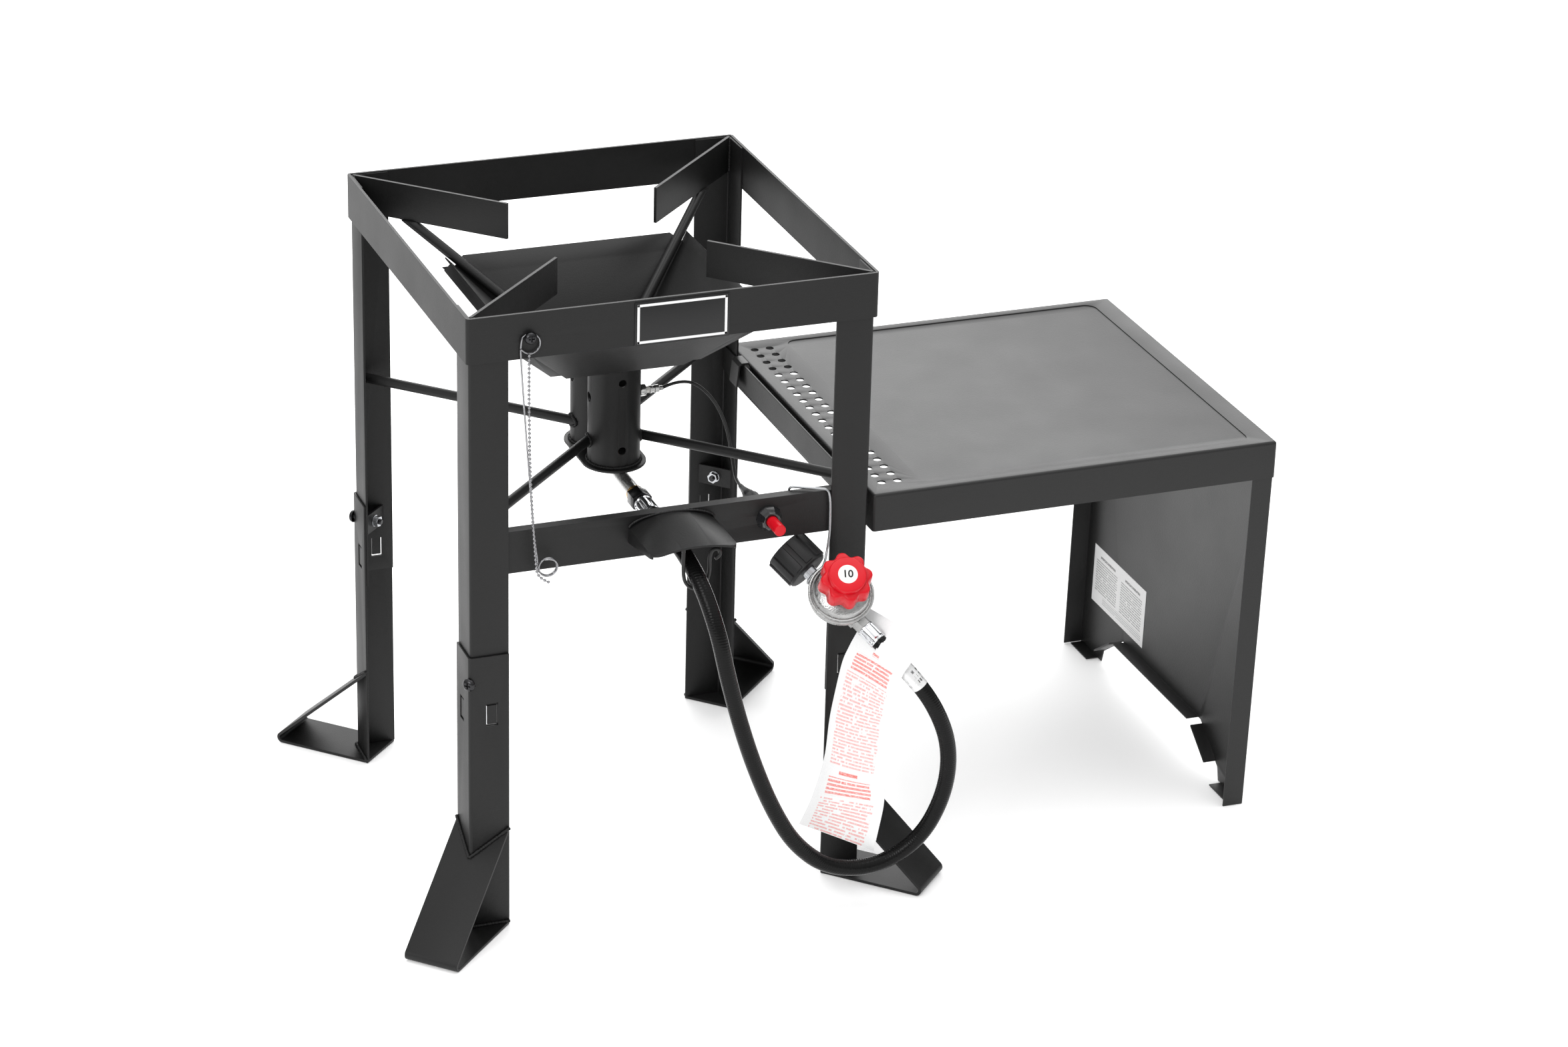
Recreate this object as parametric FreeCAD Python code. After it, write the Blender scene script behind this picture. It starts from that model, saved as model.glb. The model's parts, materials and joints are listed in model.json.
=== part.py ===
"""Propane burner stand: a square pot stand with bolt-on lower legs, a twin-tube
burner under a sheet-metal wind bowl, a gas hose with its regulator, and a
hook-on side table.  One STEP file per sub-part, millimetres, +Z up.

The stand is drawn about its own centre line on the floor (x right along its
front, y to the back).  save() then moves every sub-part so that the origin is
under the middle of the whole object, stand and side table together."""
import FreeCAD, Part
import math
import os

V = FreeCAD.Vector
X, Y, Z = V(1, 0, 0), V(0, 1, 0), V(0, 0, 1)

# ---------------------------------------------------------------- stand frame
TOP_Z = 638.0            # pot height
RING_HALF = 203.0        # outer half width of the top ring, 406 mm square
RING_T = 3.0
RING_H = 45.0
SUPPORT_H = 37.0         # pot support bars on edge
SUPPORT_TIP = 107.5      # their tips, measured along the diagonal

LEG_HALF = RING_HALF - RING_T      # outer faces of the upper legs
LEG_W, LEG_T = 38.0, 2.0
UPPER_Z = (204.0, TOP_Z - 1.0)
LOW_IN = LEG_HALF + 0.2            # inner faces of the lower legs
LOW_W = 40.0
LOW_HALF = LOW_IN + LEG_T
LOWER_Z = (3.0, 293.0)
SLOT_W, SLOT_Z, SLOT_IN = 11.5, (219.0, 243.0), 23.0
BOLT_Z, BOLT_R = 266.0, 3.0

FOOT_T = 3.0
FOOT_W = LOW_W * math.sqrt(2)      # as wide as the leg's open side
FOOT_REACH = 108.7                 # from the leg's open side to the fold
FOOT_RISE = 103.0
FOOT_FOLD_R = 6.0

# ------------------------------------------------------------------ crossbars
FRONT_BAR_Z = (374.5, 417.5)
BAR_T = 2.0
BAR_IN = LEG_HALF - LEG_T          # bars stand against the legs' inner faces
BAR_FLANGE = 9.0
SIDE_BAR_Z = (382.0, 409.7)
HOSE_HOLE_Z, HOSE_HOLE_R = 393.0, 14.0

# --------------------------------------------------------------- bowl, burner
BOWL_T = 1.5
BOWL_LOW_Z, BOWL_RIM_Z = 506.0, 571.0
BOWL_LOW_HALF = 58.5
BOWL_SIDE_HALF, BOWL_FRONT_HALF = 126.0, 121.5
BOWL_LIP = 10.0
SEAM_FLANGE, SEAM_LAP, SEAM_SHARE = 14.0, 1.5, (0.06, 0.88)
ROD_R = 5.0
BOWL_ROD_TOP = (222.0, 603.7)      # along the diagonal, height
BOWL_ROD_LOW = (62.5, 510.5)
BURNER_ROD_Z = 422.7
TUBE_R, TUBE_T, TUBE_Y = 26.0, 2.0, 27.0
TUBE_Z = (400.0, 517.0)
PLATE_R, PLATE_T = 32.0, 2.5
PIPE_R, PIPE_Z = 7.5, 390.0
PIPE_Y = (42.0, -97.0)
NUT_Y = -118.0                     # front face of the flare nut
FERRULE_Y = -146.0                 # the hose leaves its burner ferrule here

# ------------------------------------------------------------------- ignition
IGNITER = V(99.0, -BAR_IN, 396.5)  # on the front face of the crossbar
BARREL_R, BARREL_BACK = 8.0, -150.0
PLUNGER_R = 5.75
ELECTRODE_Z = 469.0

# ----------------------------------------------------------------- regulator
HOSE_D = 16.0
BAND_FROM_END = (35, 59)            # the band's two ends, along the hose from the regulator
REG_CENTRE = V(156.7, -245.0, 329.0)
REG_TURN, REG_TILT, REG_ROLL = -101.37, 42.22, 38.32   # degrees
BARREL_DROP = 18.0                 # inlet and outlet lie behind the rim
REG_R = 31.0

# ----------------------------------------------------------------- side table
TABLE_X = (205.0, 638.0)
TABLE_HALF = 203.0
TABLE_TOP, TABLE_SKIRT, TABLE_T = 408.0, 39.0, 1.5
FIELD_X, FIELD_HALF, FIELD_R, FIELD_DEPTH = (262.0, 614.0), 191.0, 12.0, 1.0
HOLE_ROWS_X, HOLE_R, HOLE_COUNT, HOLE_PITCH = (223.3, 240.0), 4.2, 21, 17.66
PANEL_TOP, PANEL_FLANGE, PANEL_LEAN = 400.0, 22.0, 0.86    # the lean in degrees
ARCH_FOOT, ARCH_LOW, ARCH_TOP = (147.0, 0.0), (143.0, 14.0), (97.0, 47.0)
HOOK_Y, HOOK_W, HOOK_T = 147.0, 21.0, 2.0
LABEL_Z = (61.0, 128.0)

# ----------------------------------------------------- small front furniture
SCREW = V(-142.7, -RING_HALF, 614.5)
PLATE_X, NAME_Z = (-41.0, 52.2), (592.5, 636.0)

FOOT_SPAN = LOW_HALF + FOOT_REACH / math.sqrt(2)   # half width over the feet's corners
TO_ORIGIN = V((FOOT_SPAN - TABLE_X[1]) / 2, 0, 0)

CORNERS = {"br": 45, "bl": 135, "fl": 225, "fr": 315}   # each diagonal's direction
nodes = {}


# ------------------------------------------------------------------- helpers
def box(x, y, z):
    """A box from three (low, high) pairs."""
    return Part.makeBox(x[1] - x[0], y[1] - y[0], z[1] - z[0], V(x[0], y[0], z[0]))


def bar(start, end, radius):
    """A round bar between two points."""
    return Part.makeCylinder(radius, (end - start).Length, start, end - start)


def pipe(start, end, radius, bore):
    return bar(start, end, radius).cut(bar(start, end, bore))


def slab(points, push):
    """A flat outline pushed out into a solid."""
    return Part.Face(Part.makePolygon(points + [points[0]])).extrude(push)


def turned(shape, degrees):
    copy = shape.copy()
    copy.rotate(V(0, 0, 0), Z, degrees)
    return copy


def merge(first, *others):
    return first.fuse(list(others)).removeSplitter()


def group(shapes):
    return Part.makeCompound(list(shapes))


def hexagon(start, end, across_flats, start_angle=0.0):
    """A hexagonal bar between two points."""
    disc = Part.makeCylinder(across_flats, (end - start).Length, V(0, 0, 0), Z)
    for k in range(6):
        flat = box((across_flats / 2, 2 * across_flats), (-2 * across_flats, 2 * across_flats),
                   (-1, (end - start).Length + 1))
        disc = disc.cut(turned(flat, start_angle + 60 * k))
    disc.Placement = FreeCAD.Placement(start, FreeCAD.Rotation(Z, end - start))
    return disc


def spun(profile):
    """A solid of revolution about Z from (radius, height) points."""
    points = [V(r, 0, h) for r, h in profile]
    return Part.Face(Part.makePolygon(points + [points[0]])).revolve(V(0, 0, 0), Z, 360)


def rounded(shape, radius, chosen):
    """Fillet the edges whose centre passes the test."""
    edges = [e for e in shape.Edges if chosen(e)]
    return shape.makeFillet(radius, edges)


def upright(edge):
    low, high = edge.BoundBox.ZMin, edge.BoundBox.ZMax
    return high - low > 10 and edge.BoundBox.XLength < 0.01 and edge.BoundBox.YLength < 0.01


def centre_line(points):
    """Straight runs joined by tangent arcs, each arc as large as its two runs
    allow.  Gives the wire and the arcs' radii."""
    edges, radii, start = [], [], points[0]
    for before, corner, after in zip(points, points[1:], points[2:]):
        back, onward = before - corner, after - corner
        reach = 0.45 * min(back.Length, onward.Length)
        back.normalize()
        onward.normalize()
        half_turn = (math.pi - back.getAngle(onward)) / 2
        radius = reach / math.tan(half_turn)
        middle = back + onward
        middle.normalize()
        crown = corner + middle * (radius / math.cos(half_turn) - radius)
        edges.append(Part.LineSegment(start, corner + back * reach).toShape())
        edges.append(Part.Arc(corner + back * reach, crown, corner + onward * reach).toShape())
        start = corner + onward * reach
        radii.append(radius)
    edges.append(Part.LineSegment(start, points[-1]).toShape())
    return Part.Wire(edges), radii


def swept(points, diameter, name=None):
    """A round section along a centre line."""
    path, radii = centre_line(points)
    section = Part.Wire([Part.makeCircle(diameter / 2, points[0], points[1] - points[0])])
    solid = path.makePipeShell([section], True, True)
    if name:
        ideal = math.pi * diameter ** 2 / 4 * path.Length
        print(name, "length %.0f" % path.Length, "least radius %.0f" % min(radii),
              "volume ratio %.3f" % (solid.Volume / ideal))
    return Part.Solid(solid) if solid.ShapeType == "Shell" else solid


def along(points):
    return [V(*p) for p in points]


# --------------------------------------------------------------- stand frame
def angle_section(outer, width, thick, z, heel_r, root_r):
    """An L-section standing in the +x +y corner, its heel on the diagonal."""
    o, w, t = outer, width, thick
    bend = heel_r * (1 - math.sqrt(0.5))
    root = root_r * (1 - math.sqrt(0.5))
    heel = Part.Arc(V(o - heel_r, o, z[0]), V(o - bend, o - bend, z[0]), V(o, o - heel_r, z[0]))
    inner = Part.Arc(V(o - t, o - t - root_r, z[0]), V(o - t - root, o - t - root, z[0]),
                     V(o - t - root_r, o - t, z[0]))
    run = [Part.LineSegment(V(o - w, o, z[0]), V(o - heel_r, o, z[0])), heel,
           Part.LineSegment(V(o, o - heel_r, z[0]), V(o, o - w, z[0])),
           Part.LineSegment(V(o, o - w, z[0]), V(o - t, o - w, z[0])),
           Part.LineSegment(V(o - t, o - w, z[0]), V(o - t, o - t - root_r, z[0])), inner,
           Part.LineSegment(V(o - t - root_r, o - t, z[0]), V(o - w, o - t, z[0])),
           Part.LineSegment(V(o - w, o - t, z[0]), V(o - w, o, z[0]))]
    face = Part.Face(Part.Wire([piece.toShape() for piece in run]))
    return face.extrude(V(0, 0, z[1] - z[0]))


def on_both_flanges(flat_box):
    """A box on the +y flange and its mirror on the +x flange."""
    twin = flat_box.mirror(V(0, 0, 0), V(1, -1, 0))
    return [flat_box, twin]


def diagonal(u, v=0.0, z=0.0):
    """A point in the +x +y corner from its place along and across the diagonal."""
    return V((u - v) / math.sqrt(2), (u + v) / math.sqrt(2), z)


def bolt_way(radius):
    return bar(diagonal(240, 0, BOLT_Z), diagonal(320, 0, BOLT_Z), radius)


def slot(width, z, depth_from, depth_to):
    mid = LOW_HALF - SLOT_IN
    return box((mid - width / 2, mid + width / 2), (depth_from, depth_to), z)


def upper_leg():
    """The fixed leg, with a lanced tab on each flange that steps out into the
    lower leg's slot."""
    leg = angle_section(LEG_HALF, LEG_W, LEG_T, UPPER_Z, 3.0, 1.0)
    window = slot(SLOT_W - 0.6, (SLOT_Z[0] + 0.5, SLOT_Z[1] - 3), LEG_HALF - 5, LEG_HALF + 1)
    tab = slot(SLOT_W - 2.4, (SLOT_Z[0] + 2, SLOT_Z[1] - 2.5), LEG_HALF - 0.8, LEG_HALF + 1.4)
    leg = leg.cut(group(on_both_flanges(window))).cut(bolt_way(BOLT_R + 0.2))
    return merge(leg, *on_both_flanges(tab))


def lower_leg():
    leg = angle_section(LOW_HALF, LOW_W, LEG_T, LOWER_Z, 3.2, 1.2)
    window = slot(SLOT_W, SLOT_Z, LOW_IN - 5, LOW_HALF + 1)
    return leg.cut(group(on_both_flanges(window))).cut(bolt_way(BOLT_R + 0.2))


def foot():
    """A strip folded back on itself: base plate, fold, and a brace that climbs to
    the leg's open side with a V-notch round the leg's heel."""
    near = LOW_HALF * math.sqrt(2) - FOOT_W / 2
    slope = math.atan2(FOOT_RISE, FOOT_REACH + FOOT_FOLD_R)
    far = near + FOOT_REACH + FOOT_FOLD_R * (1 / math.tan(slope / 2) - 1)

    def wedge(inset, fold_r):
        """The triangle between floor and brace, inset by the strip's thickness."""
        tip = far - inset / math.tan(slope / 2) if inset else far
        rise = math.tan(slope) * (tip - near)
        touch = fold_r / math.tan(slope / 2)
        up = V(-math.cos(slope), 0, math.sin(slope))
        corner = V(tip, 0, inset)
        inward = V(-math.cos(slope / 2), 0, math.sin(slope / 2))
        crown = corner + inward * (fold_r / math.sin(slope / 2) - fold_r)
        a, b = corner - X * touch, corner + up * touch
        run = [Part.LineSegment(V(near, 0, inset), a), Part.Arc(a, crown, b),
               Part.LineSegment(b, V(near, 0, inset + rise)),
               Part.LineSegment(V(near, 0, inset + rise), V(near, 0, inset))]
        face = Part.Face(Part.Wire([piece.toShape() for piece in run]))
        return face.extrude(V(0, FOOT_W, 0))

    strip = wedge(0, FOOT_FOLD_R).cut(wedge(FOOT_T, FOOT_FOLD_R - FOOT_T))
    strip.translate(V(0, -FOOT_W / 2, 0))
    strip = turned(strip, 45)
    leg_space = box((0, LOW_HALF), (0, LOW_HALF), (LOWER_Z[0], FOOT_RISE + 20))
    return strip.cut(leg_space)


def nut_plate():
    """A small plate welded across the inside of the leg, square to the diagonal."""
    inner_corner = BAR_IN * math.sqrt(2)
    outer_u, inner_u = inner_corner - 16.2, inner_corner - 18.8
    outline = [diagonal(outer_u, -16.1, BOLT_Z - 10.5), diagonal(outer_u, 16.1, BOLT_Z - 10.5),
               diagonal(inner_u, 18.7, BOLT_Z - 10.5), diagonal(inner_u, -18.7, BOLT_Z - 10.5)]
    return slab(outline, V(0, 0, 21)).cut(bolt_way(BOLT_R))


def leg_bolt():
    """A pan-head screw through the leg's heel, with a cross recess."""
    under = LOW_HALF * math.sqrt(2) - 3.2 * (math.sqrt(2) - 1)
    head = spun([(0, 0), (6.5, 0), (6.5, 1.6), (5.2, 3.6), (2.6, 4.6), (0, 4.6)])
    for k in range(2):
        head = head.cut(turned(box((-3, 3), (-0.6, 0.6), (2.4, 6)), 45 + 90 * k))
    head.Placement = FreeCAD.Placement(diagonal(under, 0, BOLT_Z), FreeCAD.Rotation(Z, V(1, 1, 0)))
    return merge(head, bar(diagonal(under - 32, 0, BOLT_Z), diagonal(under, 0, BOLT_Z), BOLT_R))


def leg_nut():
    plate_back = BAR_IN * math.sqrt(2) - 18.8
    nut = hexagon(diagonal(plate_back - 6, 0, BOLT_Z), diagonal(plate_back - 1, 0, BOLT_Z), 10.0)
    washer = bar(diagonal(plate_back - 1, 0, BOLT_Z), diagonal(plate_back, 0, BOLT_Z), 6.0)
    return merge(nut, washer).cut(bolt_way(BOLT_R))


def top_ring():
    ring = box((-RING_HALF, RING_HALF), (-RING_HALF, RING_HALF), (TOP_Z - RING_H, TOP_Z))
    ring = rounded(ring, 4.0, upright)
    inside = box((-LEG_HALF, LEG_HALF), (-LEG_HALF, LEG_HALF), (TOP_Z - 60, TOP_Z + 5))
    ring = ring.cut(rounded(inside, 1.0, upright))
    return ring.cut(bar(SCREW - Y * 5, SCREW + Y * 5, 2.5))


def pot_support(leg):
    """A flat bar on edge, its outer end cut to a V that fits the leg's corner."""
    flat = box((SUPPORT_TIP, 290), (-1.5, 1.5), (TOP_Z - SUPPORT_H, TOP_Z))
    corner = box((0, BAR_IN), (0, BAR_IN), (0, TOP_Z + 5))
    return turned(flat, 45).common(corner).cut(leg)


legs = {"upper": upper_leg(), "lower": lower_leg()}
nodes["top_ring"] = top_ring()
for name, place in CORNERS.items():
    nodes["upper_leg_" + name] = turned(legs["upper"], place - 45)
    nodes["lower_leg_" + name] = turned(legs["lower"], place - 45)
    nodes["foot_" + name] = turned(foot(), place - 45)
for node, make in (("pot_supports", lambda: pot_support(legs["upper"])),
                   ("leg_nut_plates", nut_plate), ("leg_bolts", leg_bolt), ("leg_nuts", leg_nut)):
    nodes[node] = group([turned(make(), place - 45) for place in CORNERS.values()])


# ----------------------------------------------------------------- crossbars
def front_crossbar():
    """A flat bar behind the front legs' flanges, its top edge turned back."""
    half = BAR_IN - 1.2                # clear of the bend inside the legs' corners
    web = box((-half, half), (-BAR_IN, -BAR_IN + BAR_T), FRONT_BAR_Z)
    flange = box((-half, half), (-BAR_IN, -BAR_IN + BAR_T + BAR_FLANGE),
                 (FRONT_BAR_Z[1] - BAR_T, FRONT_BAR_Z[1]))
    edge = merge(web, flange)
    front = V(0, -BAR_IN - 1, HOSE_HOLE_Z)
    hose_hole = bar(front, front + Y * 5, HOSE_HOLE_R)
    button_hole = bar(IGNITER - Y, IGNITER + Y * 5, BARREL_R + 0.2)
    return edge.cut(hose_hole).cut(button_hole)


def side_crossbar():
    return box((BAR_IN - BAR_T, BAR_IN), (-BAR_IN + 2.2, BAR_IN - 2.2), SIDE_BAR_Z)


nodes["front_crossbar"] = front_crossbar()
nodes["side_crossbar"] = side_crossbar()


# ------------------------------------------------------------- bowl, burner
def tube_space(sign, extra=0.0):
    centre = V(0, sign * TUBE_Y, 0)
    return bar(centre + Z * (TUBE_Z[0] - 20), centre + Z * (TUBE_Z[1] + extra), TUBE_R)


tube_spaces = group([tube_space(-1), tube_space(1)])


def burner_rod():
    reach = BAR_IN * math.sqrt(2) - ROD_R
    return bar(diagonal(0, 0, BURNER_ROD_Z), diagonal(reach, 0, BURNER_ROD_Z), ROD_R)


def bowl_rod():
    """Carries the bowl: from under a pot support down the bowl's corner."""
    low, top = BOWL_ROD_LOW, BOWL_ROD_TOP
    rod = bar(diagonal(low[0], 0, low[1]), diagonal(top[0], 0, top[1]), ROD_R)
    return rod.common(box((0, RING_HALF), (0, RING_HALF), (0, TOP_Z - SUPPORT_H)))


def keep_largest(shape):
    return max(shape.Solids, key=lambda solid: solid.Volume)


def clear_of_tubes(rod, degrees):
    """The part of a rod that lies outside the burner tubes."""
    placed = turned(rod, degrees - 45).cut(tube_spaces)
    return max(placed.Solids, key=lambda solid: abs(solid.CenterOfMass.x))


bowl_rods = group([turned(bowl_rod(), place - 45) for place in CORNERS.values()])
nodes["burner_rods"] = group([clear_of_tubes(burner_rod(), place) for place in CORNERS.values()])
nodes["bowl_rods"] = bowl_rods

BOWL_RISE = BOWL_RIM_Z - BOWL_LOW_Z


def bowl_half(rim_half, z):
    """Half width of the bowl at a height, for a rim of the given half width."""
    return BOWL_LOW_HALF + (rim_half - BOWL_LOW_HALF) * (z - BOWL_LOW_Z) / BOWL_RISE


def seam(z):
    """Distance of the bowl's seams from the middle of its front, at a height."""
    return bowl_half(BOWL_SIDE_HALF, z)


def bowl_panel(rim_half, outline, lip_half=None, inset=0.0):
    """A sloping panel on the +x side.  The outline is given across the panel and
    as a share of the way up its slope; the inset sets it back into the bowl."""
    run = rim_half - BOWL_LOW_HALF
    length = math.hypot(run, BOWL_RISE)
    climb = V(run / length, 0, BOWL_RISE / length)
    out = V(climb.z, 0, -climb.x)
    foot_line = V(BOWL_LOW_HALF, 0, BOWL_LOW_Z) - out * inset
    points = [foot_line + Y * across + climb * (share * length) for across, share in outline]
    panel = slab(points, out * BOWL_T)
    if lip_half:
        top = foot_line + climb * length
        strip = [top - Y * lip_half, top + Y * lip_half,
                 top + Y * lip_half - climb * BOWL_T, top - Y * lip_half - climb * BOWL_T]
        panel = merge(panel, slab(strip, out * BOWL_LIP))
    return panel


def seam_flange(side):
    """A side panel's folded edge, lying behind the front panel on one side."""
    low, high = (seam(BOWL_LOW_Z + share * BOWL_RISE) for share in SEAM_SHARE)
    outline = [(low - 1, SEAM_SHARE[0]), (low + SEAM_FLANGE, SEAM_SHARE[0]),
               (high + SEAM_FLANGE, SEAM_SHARE[1]), (high - 1, SEAM_SHARE[1])]
    return bowl_panel(BOWL_FRONT_HALF, [(side * y, share) for y, share in outline], inset=BOWL_T)


def bowl_side():
    """Left and right panels: cut to the seam, a folded edge along each seam and a
    lip folded out along the rim."""
    low, high = BOWL_LOW_HALF, BOWL_FRONT_HALF + 5
    panel = bowl_panel(BOWL_SIDE_HALF, [(-low - 5, 0), (low + 5, 0), (high, 1), (-high, 1)], 104.0)
    z = (BOWL_LOW_Z - 16, BOWL_RIM_Z + 16)
    half = [bowl_half(BOWL_FRONT_HALF, h) for h in z]
    between = slab([V(0, -half[0], z[0]), V(0, half[0], z[0]), V(0, half[1], z[1]),
                    V(0, -half[1], z[1])], X * 200)
    folds = [turned(seam_flange(1), 270), turned(seam_flange(-1), 90)]
    return merge(panel.common(between), *folds)


def bowl_front():
    """Front and back panels lap the side panels' folds, clipped at the rim."""
    low = BOWL_LOW_HALF + SEAM_LAP
    shoulder = seam(BOWL_LOW_Z + SEAM_SHARE[1] * BOWL_RISE) + SEAM_LAP
    return bowl_panel(BOWL_FRONT_HALF, [(-low, 0), (low, 0), (shoulder, SEAM_SHARE[1]), (108, 1),
                                        (-108, 1), (-shoulder, SEAM_SHARE[1])])


for node, make, place in (("bowl_right", bowl_side, 0), ("bowl_back", bowl_front, 90),
                          ("bowl_left", bowl_side, 180), ("bowl_front", bowl_front, 270)):
    nodes[node] = turned(make(), place).cut(bowl_rods)
nodes["bowl_floor"] = box((-BOWL_LOW_HALF, BOWL_LOW_HALF), (-BOWL_LOW_HALF, BOWL_LOW_HALF),
                          (BOWL_LOW_Z - BOWL_T, BOWL_LOW_Z)).cut(tube_spaces).cut(bowl_rods)


def burner_tube(sign):
    """A burner tube; sign is -1 for the front one and 1 for the back one."""
    centre = V(0, sign * TUBE_Y, 0)
    tube = pipe(centre + Z * TUBE_Z[0], centre + Z * TUBE_Z[1], TUBE_R, TUBE_R - TUBE_T)
    for height in (418.5, 489.6):
        port = centre + Z * height
        tube = tube.cut(bar(port, port + Y * (sign * 40), 4.0))
    side_port = centre + Z * ELECTRODE_Z
    tube = tube.cut(bar(side_port, side_port - X * 40, 5.0))
    if sign < 0:
        tube = tube.cut(bar(side_port, side_port + X * 40, 3.5))
    return tube


def base_plate():
    """The plate under both tubes, with round ends, drilled for the two jets."""
    top = TUBE_Z[0]
    ends = [bar(V(0, s * TUBE_Y, top - PLATE_T), V(0, s * TUBE_Y, top), PLATE_R) for s in (-1, 1)]
    plate = merge(box((-PLATE_R, PLATE_R), (-TUBE_Y, TUBE_Y), (top - PLATE_T, top)), *ends)
    return plate.cut(group([bar(V(0, s * TUBE_Y, 380), V(0, s * TUBE_Y, 410), 4.5) for s in (-1, 1)]))


def gas_pipe():
    """The feed pipe under the plate, closed at the back, open at the nut."""
    outer = bar(V(0, PIPE_Y[0], PIPE_Z), V(0, PIPE_Y[1], PIPE_Z), PIPE_R)
    bore = bar(V(0, PIPE_Y[0] - 4, PIPE_Z), V(0, PIPE_Y[1], PIPE_Z), PIPE_R - 2)
    taps = [bar(V(0, s * TUBE_Y, PIPE_Z), V(0, s * TUBE_Y, 400), 3.0) for s in (-1, 1)]
    return outer.cut(group([bore] + taps))


def gas_jet(sign):
    """A brass jet: threaded foot in the pipe, body through the plate, hex on top."""
    foot = V(0, sign * TUBE_Y, PIPE_Z + 5.8)
    body = merge(bar(foot, V(0, foot.y, 397.5), 3.0), bar(V(0, foot.y, 397.5), V(0, foot.y, 404), 4.5),
                 hexagon(V(0, foot.y, 404), V(0, foot.y, 410), 10.0))
    body = merge(body, bar(V(0, foot.y, 410), V(0, foot.y, 413), 3.2))
    return body.cut(bar(foot, V(0, foot.y, 420), 0.8))


nodes["burner_tube_front"] = burner_tube(-1)
nodes["burner_tube_back"] = burner_tube(1)
nodes["burner_base_plate"] = base_plate()
nodes["gas_pipe"] = gas_pipe()
nodes["gas_jets"] = group([gas_jet(-1), gas_jet(1)])
pipe_end = V(0, PIPE_Y[1], PIPE_Z)
nodes["pipe_collar"] = pipe(pipe_end, pipe_end + Y * 5, 9.0, PIPE_R)
nut_face = V(0, NUT_Y, PIPE_Z)
flare_nut = merge(hexagon(nut_face + Y * 3, pipe_end, 19.0), bar(nut_face, nut_face + Y * 3, 8.8))
nodes["flare_nut"] = flare_nut.cut(bar(nut_face, pipe_end, 4.5))


# --------------------------------------------------------- hose guard, hanger
GUARD_T, GUARD_HALF, GUARD_REACH = 2.0, 43.0, 72.0


def hood_outline(y, skirt, shoulder, crown):
    """The guard's section at a depth y: two upright sides under an arch."""
    h, t = GUARD_HALF, GUARD_T
    run = [Part.LineSegment(V(-h, y, skirt), V(-h, y, shoulder)),
           Part.Arc(V(-h, y, shoulder), V(0, y, crown), V(h, y, shoulder)),
           Part.LineSegment(V(h, y, shoulder), V(h, y, skirt)),
           Part.LineSegment(V(h, y, skirt), V(h - t, y, skirt)),
           Part.LineSegment(V(h - t, y, skirt), V(h - t, y, shoulder - t)),
           Part.Arc(V(h - t, y, shoulder - t), V(0, y, crown - t), V(t - h, y, shoulder - t)),
           Part.LineSegment(V(t - h, y, shoulder - t), V(t - h, y, skirt)),
           Part.LineSegment(V(t - h, y, skirt), V(-h, y, skirt))]
    return Part.Wire([piece.toShape() for piece in run])


def hose_guard():
    hood = Part.makeLoft([hood_outline(-BAR_IN, 390.0, 405.0, 417.3),
                          hood_outline(-BAR_IN - GUARD_REACH, 402.5, 406.0, 412.3)], True, True)
    plan = box((-GUARD_HALF, GUARD_HALF), (-BAR_IN - GUARD_REACH, -BAR_IN), (380, 425))
    front = lambda e: upright(e) and e.BoundBox.YMin < -BAR_IN - GUARD_REACH + 1
    return hood.common(rounded(plan, 12.0, front))


def hose_hanger(guard):
    """A wire that hangs from the guard, passes under the hose and ends in a curl."""
    wire = along([(-6, -250, 413.5), (-6, -250, 392), (-6, -250.3, 371), (-1, -250, 361.5),
                  (8, -250, 357.5), (16.5, -250, 362), (20.5, -250, 374), (19.8, -250, 390),
                  (23, -250, 397.5), (30, -250, 396.5), (31, -250, 389.5), (25.6, -250, 387)])
    return keep_largest(swept(wire, 3.6).cut(guard))


nodes["hose_guard"] = hose_guard()
nodes["hose_hanger"] = hose_hanger(nodes["hose_guard"])


# ------------------------------------------------------------------ ignition
def igniter_bezel():
    """A ten-sided cone ring that screws onto the barrel."""
    face = IGNITER - Y * 10.0
    cone = Part.makeLoft([Part.makePolygon([IGNITER + V(13.5 * math.cos(a), 0, 13.5 * math.sin(a))
                                            for a in ring_angles(10)]),
                          Part.makePolygon([face + V(8.8 * math.cos(a), 0, 8.8 * math.sin(a))
                                            for a in ring_angles(10)])], True, True)
    return cone.cut(bar(IGNITER + Y, IGNITER - Y * 6, BARREL_R)).cut(bar(IGNITER, face - Y, 6.1))


def ring_angles(count):
    return [2 * math.pi * k / count for k in range(count + 1)]


def igniter_barrel():
    """The igniter's housing behind the crossbar, with a hexagonal lock ring."""
    back = V(IGNITER.x, BARREL_BACK, IGNITER.z)
    ring = hexagon(IGNITER + Y * BAR_T, IGNITER + Y * (BAR_T + 4), 20.0)
    body = merge(bar(back, IGNITER - Y * 6, BARREL_R), ring)
    return body.cut(bar(back - Y * 10, IGNITER - Y * 7, 6.1))


def igniter_plunger():
    tip = IGNITER - Y * 31.5
    stem = bar(tip, V(IGNITER.x, -172, IGNITER.z), PLUNGER_R)
    return stem.makeFillet(0.8, [e for e in stem.Edges if e.BoundBox.YMax < tip.y + 0.1
                                 and e.BoundBox.XLength > 5])


def electrode():
    """The spark electrode screwed into the front tube's right side."""
    port = V(0, -TUBE_Y, ELECTRODE_Z)
    nut = hexagon(port + X * 24, port + X * 32, 11.0).cut(tube_space(-1))
    core = bar(port + X * 14, port + X * 36, 3.3)
    return merge(nut, core, bar(port + X * 6, port + X * 14, 1.0))


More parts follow.
